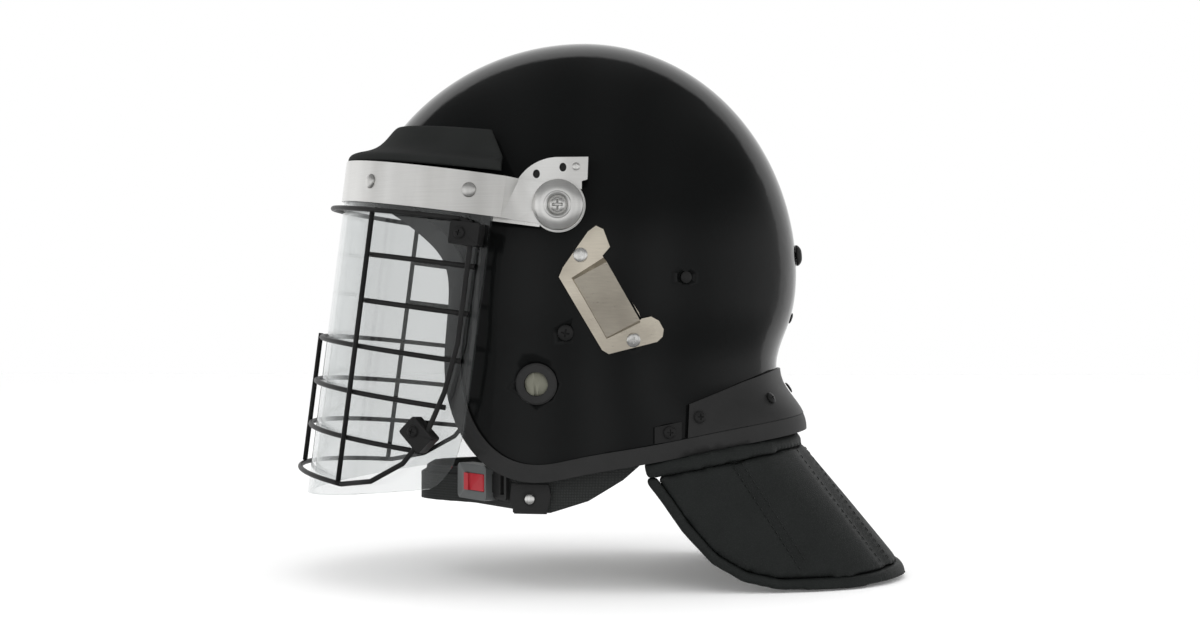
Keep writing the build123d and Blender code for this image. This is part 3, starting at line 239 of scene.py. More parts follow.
# Shader arithmetic
class Shade:
    """A shader socket; arithmetic on it adds the nodes"""

    def __init__(self, tree, socket):
        self.tree = tree
        self.socket = socket

    def beside(self, name):
        """Another output of the same node"""
        return Shade(self.tree, self.socket.node.outputs[name])

    def maths(self, operation, other=0.0):
        return place_node(self.tree, "ShaderNodeMath", {"operation": operation}, {0: self, 1: other})

    def __add__(self, other):
        return self.maths("ADD", other)

    def __radd__(self, other):
        return self.maths("ADD", other)

    def __rsub__(self, other):
        return place_node(self.tree, "ShaderNodeMath", {"operation": "SUBTRACT"}, {0: other, 1: self})

    def __mul__(self, other):
        return self.maths("MULTIPLY", other)

    def __pow__(self, other):
        return self.maths("POWER", other)


def place_node(tree, kind, settings, sockets, output=0):
    """Adds a node: its settings first, then its sockets' values or links. Returns one output"""
    node = tree.nodes.new(kind)
    for name, value in settings.items():
        setattr(node, name, value)
    for name, value in sockets.items():
        if isinstance(value, Shade):
            tree.links.new(value.socket, node.inputs[name])
        else:
            node.inputs[name].default_value = value
    return Shade(tree, node.outputs[output] if len(node.outputs) else None)


def place(tree, stretch=(1, 1, 1)):
    """Object coordinates, stretched"""
    spot = place_node(tree, "ShaderNodeTexCoord", {}, {}, "Object")
    return place_node(tree, "ShaderNodeMapping", {}, {"Vector": spot, "Scale": stretch})


def noise(tree, scale, detail=2.0, stretch=(1, 1, 1), roughness=0.5):
    """Soft noise on the object's own coordinates"""
    spot = place(tree, stretch)
    return place_node(tree, "ShaderNodeTexNoise", {},
                      {"Vector": spot, "Scale": scale, "Detail": detail, "Roughness": roughness})


def spread(tree, value, low, high, start=0.0, end=1.0, shape="LINEAR"):
    """A value that runs from start to end while another runs from low to high"""
    return place_node(tree, "ShaderNodeMapRange", {"clamp": True, "interpolation_type": shape},
                      {"Value": value, 1: low, 2: high, 3: start, 4: end})


def tinted(tree, colour, share, darker, lighter):
    """A colour that varies from darker to lighter as share goes from 0 to 1"""
    dark = (*[channel * darker for channel in colour], 1)
    light = (*[min(channel * lighter, 1) for channel in colour], 1)
    return place_node(tree, "ShaderNodeMix", {"data_type": "RGBA"}, {0: share, 6: dark, 7: light}, 2)


def bump(tree, height, strength, depth):
    """A bump from a pattern, as deep as given in millimetres"""
    return place_node(tree, "ShaderNodeBump", {},
                      {"Height": height, "Strength": strength, "Distance": depth * millimetre})


def new_finish(name):
    """An empty material and its tree"""
    material = bpy.data.materials.new(name)
    material.use_nodes = True
    material.node_tree.nodes.clear()
    return material, material.node_tree


def surface(tree, sockets):
    """The Principled shader, linked to the output"""
    shader = place_node(tree, "ShaderNodeBsdfPrincipled", {}, sockets)
    place_node(tree, "ShaderNodeOutputMaterial", {}, {"Surface": shader})
    return shader


# Finishes
def gloss_paint():
    """Deep gloss black with a faint orange peel"""
    material, tree = new_finish("gloss black paint")
    scene = bpy.context.scene
    peel = noise(tree, 260, 1)
    haze = noise(tree, 14, 4)
    surface(tree, {"Base Color": tinted(tree, scene.helmet_colours.shell, haze, 0.8, 1.2),
                   "Roughness": 0.05 + haze * 0.05, "IOR": scene.helmet_sizes.gloss,
                   "Normal": bump(tree, peel, 0.05, 0.4)})
    return material


def moulded(name, colour, roughness, grain, depth):
    """Moulded plastic or rubber with a fine grain, as deep as given in millimetres"""
    material, tree = new_finish(name)
    grains = noise(tree, grain, 3)
    wear = noise(tree, 35, 5, roughness=0.6)
    surface(tree, {"Base Color": tinted(tree, colour, wear, 0.75, 1.3),
                   "Roughness": (roughness - 0.08) + wear * 0.16, "IOR": bpy.context.scene.helmet_sizes.gloss,
                   "Normal": bump(tree, grains, 0.35, depth)})
    return material


def brushed_metal(name, colour, roughness, metallic, stretch, reflection_stretch=(1, 1, 0.15), darker=0.62,
                  lighter=1.2, bands=26):
    """Steel with brush lines along one direction, and soft bands of painted reflection in its colour, lighter
    and darker
    """
    material, tree = new_finish(name)
    lines = noise(tree, 1, 3, stretch, 0.7)
    # Painted reflection: broad lighter and darker streaks in the colour stand in for the room mirrored in the
    # steel
    painted_reflection = spread(tree, noise(tree, bands, 2, reflection_stretch), 0.3, 0.7)
    surface(tree, {"Base Color": tinted(tree, colour, lines * 0.35 + painted_reflection * 0.65, darker, lighter),
                   "Metallic": metallic, "Roughness": (roughness - 0.07) + lines * 0.14,
                   "Normal": bump(tree, lines, 0.12, 0.02)})
    return material


def coated_wire():
    """Black powder coat"""
    material, tree = new_finish("black powder coat")
    scene = bpy.context.scene
    pits = noise(tree, 1500, 2)
    wear = noise(tree, 60, 4)
    surface(tree, {"Base Color": tinted(tree, scene.helmet_colours.wire, wear, 0.7, 1.4),
                   "Roughness": 0.33 + wear * 0.14, "IOR": scene.helmet_sizes.gloss,
                   "Normal": bump(tree, pits, 0.3, 0.08)})
    return material


def clear_visor():
    """Clear polycarbonate: see-through, with a reflection that grows towards grazing angles"""
    material, tree = new_finish("clear polycarbonate")
    tint = bpy.context.scene.helmet_colours.visor
    each_wall = (*[math.sqrt(part) for part in tint], 1)
    through = place_node(tree, "ShaderNodeBsdfTransparent", {}, {"Color": each_wall})
    haze = noise(tree, 30, 3)
    gloss = place_node(tree, "ShaderNodeBsdfPrincipled", {},
                       {"Base Color": tinted(tree, (0.9, 0.92, 0.92), haze, 0.95, 1.05), "Metallic": 1.0,
                        "Roughness": 0.02 + haze * 0.03})
    grazing = place_node(tree, "ShaderNodeLayerWeight", {}, {"Blend": 0.5}, "Facing")
    mirrored = grazing ** 5 * 0.9 + 0.04
    mixed = place_node(tree, "ShaderNodeMixShader", {}, {0: mirrored, 1: through, 2: gloss})
    place_node(tree, "ShaderNodeOutputMaterial", {}, {"Surface": mixed})
    return material


def grained_leatherette():
    """Black leatherette with a pebbled grain, shinier on the pebbles' tops"""
    material, tree = new_finish("black leatherette")
    sizes = bpy.context.scene.helmet_sizes
    pebbles = place_node(tree, "ShaderNodeTexVoronoi", {"feature": "DISTANCE_TO_EDGE"},
                         {"Vector": place(tree), "Scale": 1 / sizes.grain}, "Distance")
    tops = spread(tree, pebbles, 0, 0.35)
    folds = noise(tree, 40, 5, roughness=0.6)
    colour = bpy.context.scene.helmet_colours.leatherette
    surface(tree, {"Base Color": tinted(tree, colour, folds * 0.6 + tops * 0.4, 0.7, 1.4),
                   "Roughness": 0.56 - tops * 0.14 + folds * 0.06, "IOR": sizes.gloss,
                   "Normal": bump(tree, tops * 0.7 + folds * 0.6, 0.5, 0.3)})
    return material


def woven(name, colour, pitch, roughness=0.8, contrast=1.5):
    """Cloth or webbing with a plain weave along the helmet's own directions; its pitch is in millimetres"""
    material, tree = new_finish(name)
    spot = place_node(tree, "ShaderNodeSeparateXYZ", {}, {0: place(tree)})
    along = spot + spot.beside("Y")
    across = spot.beside("Z")
    turns = math.pi / (pitch * millimetre)
    ribs = (along * turns).maths("SINE")
    picks = (across * turns).maths("SINE")
    weave = (ribs * picks).maths("ABSOLUTE")
    fuzz = noise(tree, 900, 2)
    surface(tree, {"Base Color": tinted(tree, colour, weave * 0.6 + fuzz * 0.4, 2 - contrast, contrast),
                   "Roughness": roughness, "Normal": bump(tree, weave + fuzz * 0.4, 0.6, pitch * 0.15)})
    return material


finishes = {}


def mix_finishes():
    """Makes every finish once"""
    colours = bpy.context.scene.helmet_colours
    every_way = (1, 1, 1)
    finishes.update({
        "black_shell": gloss_paint(),
        "edge_rubber": moulded("black edge rubber", colours.rubber, roughness=0.5, grain=1400, depth=0.06),
        "seal_rubber": moulded("black foam rubber", colours.seal, roughness=0.8, grain=900, depth=0.2),
        "liner_foam": moulded("dull liner foam", colours.foam, roughness=0.85, grain=420, depth=0.4),
        "liner_cloth": woven("beige lining cloth", colours.lining, pitch=0.9),
        "brushed_steel": brushed_metal("brushed steel", colours.steel, roughness=0.33, metallic=0.92,
                                       stretch=(30, 30, 2600)),
        # The stamped steel gets stronger painted reflection streaks in its colour
        "warm_steel": brushed_metal("stamped steel", colours.warm_steel, roughness=0.3, metallic=0.95,
                                    stretch=(900, 60, 900), reflection_stretch=every_way, darker=0.6, lighter=1.5,
                                    bands=24),
        "screw_steel": brushed_metal("screw steel", colours.steel, roughness=0.25, metallic=0.92,
                                     stretch=(300, 300, 300), reflection_stretch=every_way),
        "spring_steel": brushed_metal("spring steel", colours.steel, roughness=0.25, metallic=0.85,
                                      stretch=(40, 40, 1800)),
        "clear_visor": clear_visor(),
        "black_wire": coated_wire(),
        "dark_screw": moulded("black screw finish", colours.wire, roughness=0.35, grain=1500, depth=0.04),
        "black_nylon": moulded("black nylon", colours.nylon, roughness=0.42, grain=1100, depth=0.08),
        "vent_grey": moulded("grey vent plastic", colours.vent, roughness=0.5, grain=900, depth=0.1),
        "black_webbing": woven("black webbing", colours.webbing, pitch=1.6, roughness=0.72, contrast=1.7),
        "leatherette": grained_leatherette(),
        "buckle_grey": moulded("grey buckle plastic", colours.buckle, roughness=0.32, grain=700, depth=0.04),
        "lever_red": moulded("red lever plastic", colours.lever, roughness=0.35, grain=700, depth=0.04),
        "thread": woven("black thread", colours.webbing, pitch=0.4, roughness=0.6),
    })


# Shapes
def merged_copy(node):
    """A CAD node's mesh with its loose triangles joined"""
    mesh = frame["nodes"][node].data.copy()
    body = bmesh.new()
    body.from_mesh(mesh)
    bmesh.ops.remove_doubles(body, verts=body.verts, dist=join_distance)
    body.to_mesh(mesh)
    body.free()
    return mesh


def show(name, mesh, finish, body):
    """A new object in the scene that rides on a body"""
    piece = bpy.data.objects.new(name, mesh)
    bpy.context.scene.collection.objects.link(piece)
    mesh.materials.clear()
    mesh.materials.append(finishes[finish])
    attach(piece, body)
    return piece


def smooth_by_angle(mesh, degrees):
    """Shades a mesh smooth and keeps the edges that turn more than an angle sharp"""
    mesh.polygons.foreach_set("use_smooth", [True] * len(mesh.polygons))
    mesh.set_sharp_from_angle(angle=math.radians(degrees))


def dress(node, degrees):
    """Stands for a rigid CAD node with the same form, joined and shaded smooth"""
    mesh = merged_copy(node)
    smooth_by_angle(mesh, degrees)
    piece = show(f"{node}_shown", mesh, slot_of_node[node], body_of_node[node])
    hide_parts(node)
    return piece


def shifted(mesh, distance):
    """Moves every point of a mesh along its normal"""
    normals = [vertex.normal.copy() for vertex in mesh.vertices]
    for vertex, normal in zip(mesh.vertices, normals):
        vertex.co += normal * distance


def applied(piece):
    """The piece's mesh with its modifiers applied"""
    shape = piece.evaluated_get(bpy.context.evaluated_depsgraph_get())
    mesh = bpy.data.meshes.new_from_object(shape)
    piece.modifiers.clear()
    old = piece.data
    piece.data = mesh
    bpy.data.meshes.remove(old)
    return mesh


def remeshed(piece, voxel):
    """Gives a piece an even mesh and relaxes it a little"""
    grid = piece.modifiers.new("even mesh", "REMESH")
    grid.mode = "VOXEL"
    grid.voxel_size = voxel
    ease = piece.modifiers.new("relax", "SMOOTH")
    ease.factor = 0.5
    ease.iterations = 3
    return applied(piece)


def swollen(piece, limit):
    """Inflates a piece as cloth; points only move outward, and no further than a limit"""
    start = [(vertex.co.copy(), vertex.normal.copy()) for vertex in piece.data.vertices]
    cloth = piece.modifiers.new("stuffing", "CLOTH")
    cloth.settings.use_pressure = True
    cloth.settings.uniform_pressure_force = stuffing_pressure
    cloth.settings.quality = stuffing_quality
    cloth.settings.effector_weights.gravity = 0
    scene = bpy.context.scene
    for step in range(stuffing_frames):
        scene.frame_set(step + 1)
    mesh = applied(piece)
    scene.frame_set(1)
    for vertex, (place_before, normal) in zip(mesh.vertices, start):
        outward = (vertex.co - place_before).dot(normal)
        vertex.co = place_before + normal * min(max(outward, 0), limit)
    return mesh


def quilted(mesh, routes, depth, reach):
    """Presses seams into a padded mesh along routes seen from the side"""
    normals = [vertex.normal.copy() for vertex in mesh.vertices]
    for vertex, normal in zip(mesh.vertices, normals):
        spot = Vector((vertex.co.y, vertex.co.z))
        near = reach * 4
        for route in routes:
            for start, end in zip(route, route[1:]):
                start = Vector(start)
                line = Vector(end) - start
                share = min(max((spot - start).dot(line) / line.length_squared, 0), 1)
                near = min(near, (spot - start - line * share).length)
        vertex.co -= normal * (depth * math.exp(-(near / reach) ** 2))


def pad(nodes, coarse=1.0, seams=(), grow=0.0, draw_in=0.5):
    """Stands for soft CAD nodes with crowned, padded forms of their own"""
    sizes = bpy.context.scene.helmet_sizes
    for node in nodes:
        piece = show(f"{node}_padded", merged_copy(node), slot_of_node[node], body_of_node[node])
        mesh = remeshed(piece, sizes.voxel * coarse)
        shifted(mesh, -sizes.swell * draw_in)
        swollen(piece, sizes.swell)
        rounder = piece.modifiers.new("rounder", "SUBSURF")
        rounder.levels = 1
        rounder.render_levels = 1
        mesh = applied(piece)
        shifted(mesh, grow)
        if seams:
            quilted(mesh, seams, sizes.seam_depth, sizes.seam_reach)
        smooth_by_angle(mesh, no_edges)
        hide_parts(node)
    return piece


# Repeats
def scatter_tree():
    """Puts a stamp on every point of a mesh, turned by the point's own two directions"""
    tree = bpy.data.node_groups.new("scatter stamps", "GeometryNodeTree")
    for label, kind in (("Points", "NodeSocketGeometry"), ("Stamp", "NodeSocketObject"),
                        ("Finish", "NodeSocketMaterial")):
        tree.interface.new_socket(label, in_out="INPUT", socket_type=kind)
    tree.interface.new_socket("Stamps", in_out="OUTPUT", socket_type="NodeSocketGeometry")
    inputs = tree.nodes.new("NodeGroupInput")
    outputs = tree.nodes.new("NodeGroupOutput")
    given = Shade(tree, inputs.outputs["Points"])
    vector = {"data_type": "FLOAT_VECTOR"}
    facing = place_node(tree, "GeometryNodeInputNamedAttribute", vector, {"Name": "facing"})
    heading = place_node(tree, "GeometryNodeInputNamedAttribute", vector, {"Name": "heading"})
    turn = place_node(tree, "FunctionNodeAxesToRotation", {"primary_axis": "Z", "secondary_axis": "X"},
                      {"Primary Axis": facing, "Secondary Axis": heading})
    stamp = place_node(tree, "GeometryNodeObjectInfo", {}, {"Object": given.beside("Stamp")}, "Geometry")
    placed = place_node(tree, "GeometryNodeInstanceOnPoints", {},
                        {"Points": given, "Instance": stamp, "Rotation": turn})
    real = place_node(tree, "GeometryNodeRealizeInstances", {}, {"Geometry": placed})
    coloured = place_node(tree, "GeometryNodeSetMaterial", {},
                          {"Geometry": real, "Material": given.beside("Finish")})
    tree.links.new(coloured.socket, outputs.inputs[0])
    return tree


def scatter(name, spots, stamp, finish, body):
    """A piece made of one stamp repeated at spots: each a place, a facing and a heading"""
    mesh = bpy.data.meshes.new(name)
    mesh.from_pydata([spot[0] for spot in spots], [], [])
    for label, index in (("facing", 1), ("heading", 2)):
        values = mesh.attributes.new(label, "FLOAT_VECTOR", "POINT")
        values.data.foreach_set("vector", [part for spot in spots for part in spot[index]])
    piece = show(name, mesh, finish, body)
    tree = bpy.data.node_groups.get("scatter stamps") or scatter_tree()
    repeat = piece.modifiers.new("repeat", "NODES")
    repeat.node_group = tree
    values = {"Stamp": stamp, "Finish": finishes[finish]}
    for item in tree.interface.items_tree:
        if item.in_out == "INPUT" and item.name in values:
            repeat[item.identifier] = values[item.name]
    made = applied(piece)
    made.materials.clear()
    made.materials.append(finishes[finish])
    stamp.hide_render = True
    stamp.hide_viewport = True
    return piece


def turned(name, profile, steps=32):
    """A mesh turned round Z from a profile of radii and heights that starts and ends on the axis"""
    body = bmesh.new()
    rings = []
    for radius, height in profile:
        if radius == 0:
            rings.append([body.verts.new((0, 0, height))])
            continue
        turns = [math.tau * step / steps for step in range(steps)]
        rings.append([body.verts.new((radius * math.cos(turn), radius * math.sin(turn), height))
                      for turn in turns])
    for lower, upper in zip(rings, rings[1:]):
        for step in range(steps):
            onward = (step + 1) % steps
            corners = [lower[step % len(lower)], lower[onward % len(lower)],
                       upper[onward % len(upper)], upper[step % len(upper)]]
            body.faces.new(list(dict.fromkeys(corners)))
    bmesh.ops.recalc_face_normals(body, faces=body.faces)
    mesh = bpy.data.meshes.new(name)
    body.to_mesh(mesh)
    body.free()
    smooth_by_angle(mesh, rubber_edges)
    return mesh


def stamp_object(name, mesh):
    """An object that only serves as a stamp: it isn't shown itself"""
    stamp = bpy.data.objects.new(name, mesh)
    bpy.context.scene.collection.objects.link(stamp)
    return stamp


def box_mesh(name, width, depth, height):
    """A plain block centred on the origin, used to cut a recess"""
    mesh = bpy.data.meshes.new(name)
    body = bmesh.new()
    bmesh.ops.create_cube(body, size=1)
    bmesh.ops.scale(body, vec=(width, depth, height), verts=body.verts)
    body.to_mesh(mesh)
    body.free()
    return mesh


def dome_profile(radius, height):
    """The outline of a domed head from its underside to its top, which is at height zero"""
    edge = height * 0.3
    return [(0, -height), (radius, -height), (radius, edge - height), (radius * 0.92, edge * 1.8 - height),
            (radius * 0.7, -height * 0.22), (radius * 0.4, -height * 0.05), (0, 0)]


def cross_profile(radius, height):
    """The outline of a flatter head for a cross recess; its top is at height zero"""
    edge = height * 0.32
    return [(0, -height), (radius, -height), (radius, edge - height), (radius * 0.93, edge * 1.9 - height),
            (radius * 0.76, -height * 0.2), (radius * 0.5, -height * 0.06),
            (radius * 0.25, -height * 0.01), (0, 0)]


def cross_head(name, radius, height, recess):
    """A screw head with a cross recess that takes a share of its width"""
    head = stamp_object(name, turned(name, cross_profile(radius, height)))
    long_side = radius * 2 * recess
    short_side = radius * 0.2
    deep = height * 1.2
    for width, depth in ((long_side, short_side), (short_side, long_side)):
        cutter = stamp_object(f"{name}_cutter", box_mesh(f"{name}_bar", width, depth, deep))
        cut = head.modifiers.new("recess", "BOOLEAN")
        cut.object = cutter
        cut.solver = "EXACT"
        applied(head)
        bpy.data.objects.remove(cutter)
    smooth_by_angle(head.data, head_edges)
    return head


def heads_of(node):
    """Each solid of a fastener node: the middle of its head's top, its facing and a heading"""
    nearly_level = 0.9995
    body = bmesh.new()
    body.from_mesh(merged_copy(node))
    body.faces.index_update()
    unseen = dict.fromkeys(body.verts)
    spots = []
    while unseen:
        first = next(iter(unseen))
        del unseen[first]
        group = [first]
        for vertex in group:
            for edge in vertex.link_edges:
                other = edge.other_vert(vertex)
                if other in unseen:
                    del unseen[other]
                    group.append(other)
        touched = {face for vertex in group for face in vertex.link_faces}
        faces = sorted(touched, key=lambda face: face.index)
        flats = []
        for face in faces:
            for flat in flats:
                if flat[0].dot(face.normal) > nearly_level:
                    flat[1] += face.calc_area()
                    break
            else:
                flats.append([face.normal.copy(), face.calc_area()])
        facing = -max(flats, key=lambda flat: flat[1])[0]
        area = sum(face.calc_area() for face in faces)
        centre = sum((face.calc_center_median() * face.calc_area() for face in faces), Vector()) / area
        top = max(vertex.co.dot(facing) for vertex in group)
        heading = recess_guide.cross(facing)
        spots.append((centre + facing * (top - centre.dot(facing)), facing, heading))
    body.free()
    return spots


def seam(name, piece, route, body):
    """Stitches along a route seen from the side, laid on a piece's left side and mirrored to its right"""
    sizes = bpy.context.scene.helmet_sizes
    tree = BVHTree.FromPolygons([vertex.co for vertex in piece.data.vertices],
                                [polygon.vertices for polygon in piece.data.polygons])
    step = sizes.stitch + sizes.stitch_gap
    laid = []
    for start, end in zip(route, route[1:]):
        count = max(int(math.dist(start, end) / millimetre), 1)
        for number in range(count):
            share = number / count
            y = start[0] + (end[0] - start[0]) * share
            z = start[1] + (end[1] - start[1]) * share
            hit, normal, _, _ = tree.ray_cast(Vector((seam_probe, y, z)), Vector((-1, 0, 0)))
            if hit:
                laid.append((hit, normal))
    spots = []
    flip = Vector((-1, 1, 1))
    gone = 0.0
    for (here, normal), (onward, _) in zip(laid, laid[1:]):
        gone += (onward - here).length
        if gone >= step:
            gone = 0.0
            heading = (onward - here).normalized()
            middle = here + normal * stitch_lift
            spots.append((middle, normal, heading))
            spots.append((middle * flip, normal * flip, heading * flip))
    return scatter(name, spots, stitch_stamp(), "thread", body)


def stitch_stamp():
    """One stitch: a short thread that dips at both ends"""
    sizes = bpy.context.scene.helmet_sizes
    name = "stitch"
    if name in bpy.data.objects:
        return bpy.data.objects[name]
    half = sizes.stitch / 2
    thick = sizes.thread / 2
    section_shares = [(-1, 0.3, -1.2), (-0.7, 0.9, 0.2), (0, 1, 0.7), (0.7, 0.9, 0.2), (1, 0.3, -1.2)]
    sides = 6
    body = bmesh.new()
    rings = []
    for along, width, level in section_shares:
        ring = []
        for number in range(sides):
            turn = math.tau * number / sides
            ring.append(body.verts.new((along * half, math.cos(turn) * thick * width,
                                        (level + math.sin(turn) * width) * thick)))
        rings.append(ring)
    for first, second in zip(rings, rings[1:]):
        for number in range(sides):
            onward = (number + 1) % sides
            body.faces.new((first[number], first[onward], second[onward], second[number]))
    body.faces.new(rings[0][::-1])
    body.faces.new(rings[-1])
    bmesh.ops.recalc_face_normals(body, faces=body.faces)
    mesh = bpy.data.meshes.new(name)
    body.to_mesh(mesh)
    body.free()
    smooth_by_angle(mesh, seal_edges)
    return stamp_object(name, mesh)


def put_heads(node):
    """Stands for a node of screws with cross-recessed heads on their own places"""
    radius, height, recess = screw_heads[node]
    head = cross_head(f"{node}_head", radius * millimetre, height * millimetre, recess)
    piece = scatter(f"{node}_heads", heads_of(node), head, slot_of_node[node], body_of_node[node])
    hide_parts(node)
    return piece


def put_domes(node):
    """Stands for a node of rivets with plain domed heads on their own places"""
    radius, height = rivet_heads[node]
    profile = dome_profile(radius * millimetre, height * millimetre)
    dome = stamp_object(f"{node}_dome", turned(f"{node}_dome", profile))
    piece = scatter(f"{node}_domes", heads_of(node), dome, slot_of_node[node], body_of_node[node])
    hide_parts(node)
    return piece


def dress_all(nodes, degrees):
    """Dresses several nodes in turn"""
    for node in nodes:
        dress(node, degrees)


class HELMET_OT_shell(bpy.types.Operator):
    """Shell and its edge trim"""
    bl_idname = "helmet.shell"
    bl_label = "Shell and trim"

    def execute(self, context):
        dress("shell", shell_edges)
        dress("edge_trim", rubber_edges)
        return {"FINISHED"}


class HELMET_OT_lining(bpy.types.Operator):
    """Impact liner and the padded lining"""
    bl_idname = "helmet.lining"
    bl_label = "Lining"

    def execute(self, context):
        dress("impact_liner", shell_edges)
        pad(["crown_pad", "brow_pad", "cheek_pad_left", "cheek_pad_right", "nape_pad"], coarse=1.4)
        return {"FINISHED"}


class HELMET_OT_pivots(bpy.types.Operator):
    """Pivot stacks with their index plates"""
    bl_idname = "helmet.pivots"
    bl_label = "Pivots"

    def execute(self, context):
        dress_all(["pivot_base_left", "pivot_base_right", "index_plate_left", "index_plate_right",
                   "pivot_bushes", "wave_washers", "pivot_domes", "pivot_screws", "pivot_nuts"],
                  plate_edges)
        put_heads("index_plate_screws")
        bpy.ops.mesh.primitive_torus_add(major_radius=ring_radius, minor_radius=ring_thickness,
                                         major_segments=64, minor_segments=12)
        ring = context.active_object
        ring.name = "pivot_ring"
        smooth_by_angle(ring.data, no_edges)
        scatter("pivot_rings", heads_of("pivot_domes"), ring, "brushed_steel", body_of_node["pivot_domes"])
        return {"FINISHED"}


class HELMET_OT_visor(bpy.types.Operator):
    """Band, visor, inner band, rivets and detent leaves"""
    bl_idname = "helmet.visor"
    bl_label = "Visor and band"

    def execute(self, context):
        dress_all(["visor_band", "visor_shield", "inner_band", "detent_leaves"], plate_edges)
        put_domes("band_rivets")
        return {"FINISHED"}


class HELMET_OT_seal(bpy.types.Operator):
    """Foam rubber seal over the brow"""
    bl_idname = "helmet.seal"
    bl_label = "Brow seal"

    def execute(self, context):
        dress("brow_seal", seal_edges)
        return {"FINISHED"}


class HELMET_OT_cage(bpy.types.Operator):
    """Wire cage, its clamps and their bolts"""
    bl_idname = "helmet.cage"
    bl_label = "Cage"

    def execute(self, context):
        dress_all(["cage_top_wire", "cage_bottom_wire", "cage_side_wire_left", "cage_side_wire_right",
                   "cage_upright_left", "cage_upright_right", "cage_centre_bar", "cage_short_bars",
                   "cage_upper_bar", "cage_middle_bar", "cage_lower_bar"], wire_edges)
        dress_all(["cage_clamps", "clamp_nuts"], plate_edges)
        put_heads("clamp_bolts")
        return {"FINISHED"}


class HELMET_OT_fittings(bpy.types.Operator):
    """Mask hooks, ear vents, plug, neck strip and their fasteners"""
    bl_idname = "helmet.fittings"
    bl_label = "Fittings"

    def execute(self, context):
        dress_all(["mask_hook_left", "mask_hook_right"], folded_edges)
        dress_all(["ear_grommets", "ear_vents", "rear_plug", "neck_strip", "strip_clips"], plate_edges)
        for node in ("mask_hook_screws", "strap_anchor_screws", "neck_strip_screws"):
            put_heads(node)
        put_domes("shell_rivets")
        return {"FINISHED"}


class HELMET_OT_neck_guard(bpy.types.Operator):
    """Padded neck guard with its roll, piping and stitching"""
    bl_idname = "helmet.neck_guard"
    bl_label = "Neck guard"

    def execute(self, context):
        panel = pad(["neck_guard"], coarse=0.5, seams=guard_seams, grow=panel_growth, draw_in=0)
        pad(["neck_guard_roll"], coarse=0.5, grow=edge_growth, draw_in=0)
        pad(["neck_guard_piping"], coarse=0.35, grow=edge_growth, draw_in=0)
        for number, route in enumerate(guard_seams):
            for side in (-1, 1):
                beside = [tuple(Vector(point) + beside_seam * side) for point in route]
                seam(f"guard_stitches_{number}_{side + 1}", panel, beside, "helmet")
        return {"FINISHED"}


class HELMET_OT_harness(bpy.types.Operator):
    """Chin harness and its buckle"""
    bl_idname = "helmet.harness"
    bl_label = "Chin harness"

    def execute(self, context):
        dress_all(["strap_yokes", "strap_junctions", "chin_strap", "buckle_housing", "buckle_lever",
                   "buckle_tongue"], plate_edges)
        put_domes("junction_rivets")
        pad(["chin_cup"], coarse=0.7)
        return {"FINISHED"}


def lamp(name, place_at, size, power):
    """A soft square lamp that faces the helmet and doesn't show in mirrors"""
    light = bpy.data.lights.new(name, "AREA")
    light.size = size
    light.energy = power
    lit = bpy.data.objects.new(name, light)
    lit.location = place_at
    lit.rotation_euler = (Vector(place_at) - Vector(lamp_aim)).to_track_quat("Z", "Y").to_euler()
    bpy.context.scene.collection.objects.link(lit)
    lit.visible_glossy = False


def room_light():
    """What the surfaces mirror: a white wall behind, a striped room at eye level; the camera sees white"""
    sizes = bpy.context.scene.helmet_sizes
    world = bpy.data.worlds.new("white room")
    bpy.context.scene.world = world
    world.use_nodes = True
    tree = world.node_tree
    tree.nodes.clear()
    facing = place_node(tree, "ShaderNodeTexCoord", {}, {}, "Generated")
    across = place_node(tree, "ShaderNodeSeparateXYZ", {}, {0: facing})
    behind = spread(tree, 0 - across, sizes.backdrop - wall_softness, sizes.backdrop + wall_softness,
                    shape="SMOOTHSTEP")
    level = across.beside("Z").maths("ABSOLUTE")
    fading = spread(tree, level, *room_slopes, sizes.room, sizes.gloom, "SMOOTHSTEP")
    stripes = (across.beside("Y") * room_stripes).maths("SINE")
    striped = fading * ((1 - stripe_depth) + stripes * stripe_depth)
    rays = place_node(tree, "ShaderNodeLightPath", {}, {}, "Is Camera Ray")
    strength = rays.maths("MAXIMUM", rays.beside("Is Transmission Ray"))
    for part in (behind, rays.beside("Is Diffuse Ray") * sizes.ambient, striped):
        strength = strength.maths("MAXIMUM", part)
    light = place_node(tree, "ShaderNodeBackground", {}, {"Color": (1, 1, 1, 1), "Strength": strength})
    place_node(tree, "ShaderNodeOutputWorld", {}, {"Surface": light})


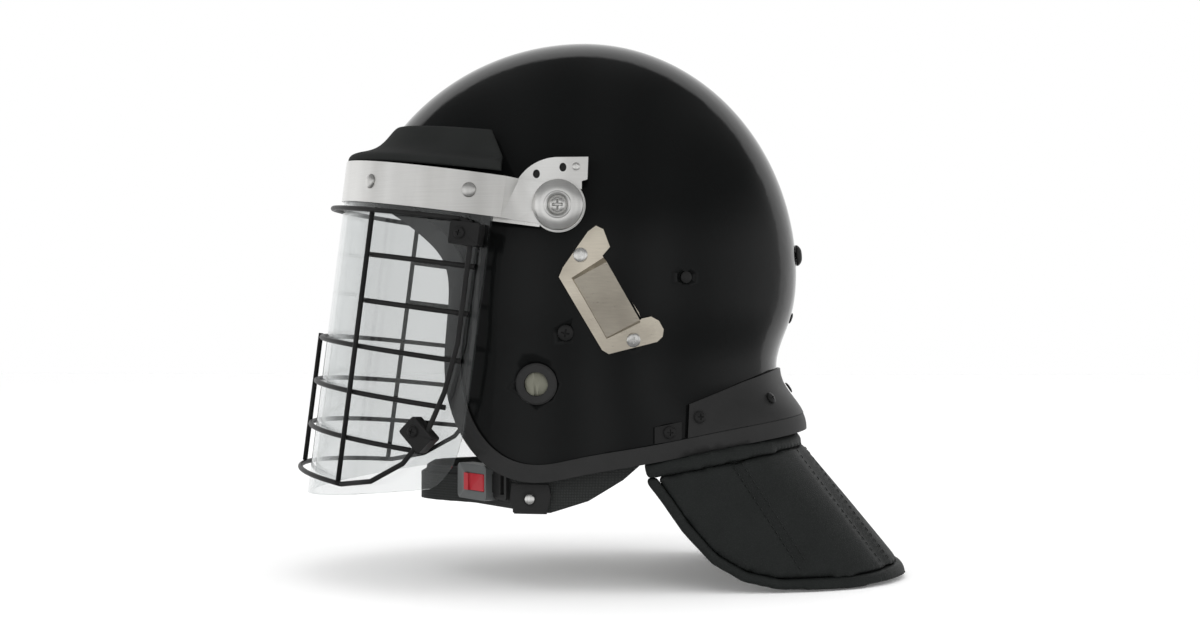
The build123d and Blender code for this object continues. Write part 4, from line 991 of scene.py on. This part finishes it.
class HELMET_OT_studio(bpy.types.Operator):
    """Pale floor, soft lamps, white room and camera"""
    bl_idname = "helmet.studio"
    bl_label = "Studio"

    def execute(self, context):
        scene = context.scene
        scene.view_settings.view_transform = "Standard"
        sizes = scene.helmet_sizes
        floor_mesh = bpy.data.meshes.new("floor")
        level = packed_box[0][2] - floor_drop
        corners = [(x * floor_reach, y * floor_reach, level) for x, y in ((-1, -1), (1, -1), (1, 1), (-1, 1))]
        floor_mesh.from_pydata(corners, [], [(0, 1, 2, 3)])
        floor = bpy.data.objects.new("floor", floor_mesh)
        scene.collection.objects.link(floor)
        material, tree = new_finish("pale floor")
        speckle = noise(tree, 300, 2)
        surface(tree, {"Base Color": tinted(tree, (0.97, 0.97, 0.97), speckle, 0.99, 1.01), "Roughness": 0.7,
                       "Emission Color": (1, 1, 1, 1), "Emission Strength": sizes.floor_glow})
        floor_mesh.materials.append(material)
        floor.visible_glossy = False
        for name, (place_at, size, power) in lamps.items():
            lamp(name, place_at, size, power)
        room_light()
        camera = bpy.data.cameras.new("camera")
        camera.sensor_width = camera_sensor
        camera.lens = camera_lens
        camera.clip_start = camera_near
        eye = bpy.data.objects.new("camera", camera)
        away = Vector((math.cos(camera_turn), math.sin(camera_turn), 0))
        eye.location = camera_target + away * camera_distance
        eye.rotation_euler = away.to_track_quat("Z", "Y").to_euler()
        scene.collection.objects.link(eye)
        scene.camera = eye
        return {"FINISHED"}


piece_operators = (HELMET_OT_shell, HELMET_OT_lining, HELMET_OT_pivots, HELMET_OT_visor, HELMET_OT_seal,
                   HELMET_OT_cage, HELMET_OT_fittings, HELMET_OT_neck_guard, HELMET_OT_harness,
                   HELMET_OT_studio)


class HELMET_PT_pieces(bpy.types.Panel):
    """Lists the helmet's pieces"""
    bl_idname = "HELMET_PT_pieces"
    bl_label = "Riot helmet"
    bl_space_type = "VIEW_3D"
    bl_region_type = "UI"
    bl_category = "Helmet"

    def draw(self, context):
        for operator in piece_operators:
            self.layout.operator(operator.bl_idname)
        for group in (context.scene.helmet_sizes, context.scene.helmet_colours):
            for name in group.bl_rna.properties.keys():
                if name not in {"rna_type", "name"}:
                    self.layout.prop(group, name)


classes = (HelmetColours, HelmetSizes, *piece_operators, HELMET_PT_pieces)


def register():
    """Registers the classes and their properties"""
    for item in classes:
        bpy.utils.register_class(item)
    bpy.types.Scene.helmet_colours = bpy.props.PointerProperty(type=HelmetColours)
    bpy.types.Scene.helmet_sizes = bpy.props.PointerProperty(type=HelmetSizes)


def unregister():
    """Removes the classes and their properties"""
    del bpy.types.Scene.helmet_sizes
    del bpy.types.Scene.helmet_colours
    for item in reversed(classes):
        bpy.utils.unregister_class(item)


def clear_stamps():
    """Removes the stamps once every repeat is a plain mesh"""
    for piece in list(bpy.data.objects):
        if piece.hide_render and piece.type == "MESH" and not piece.users_collection[0].hide_render:
            if piece.name not in frame["nodes"] and piece not in frame["nodes"].values():
                bpy.data.objects.remove(piece)


def main():
    """Builds every piece in order"""
    register()
    mix_finishes()
    for operator in piece_operators:
        group, name = operator.bl_idname.split(".")
        getattr(getattr(bpy.ops, group), name)()
    clear_stamps()


if __name__ == "__main__":
    main()
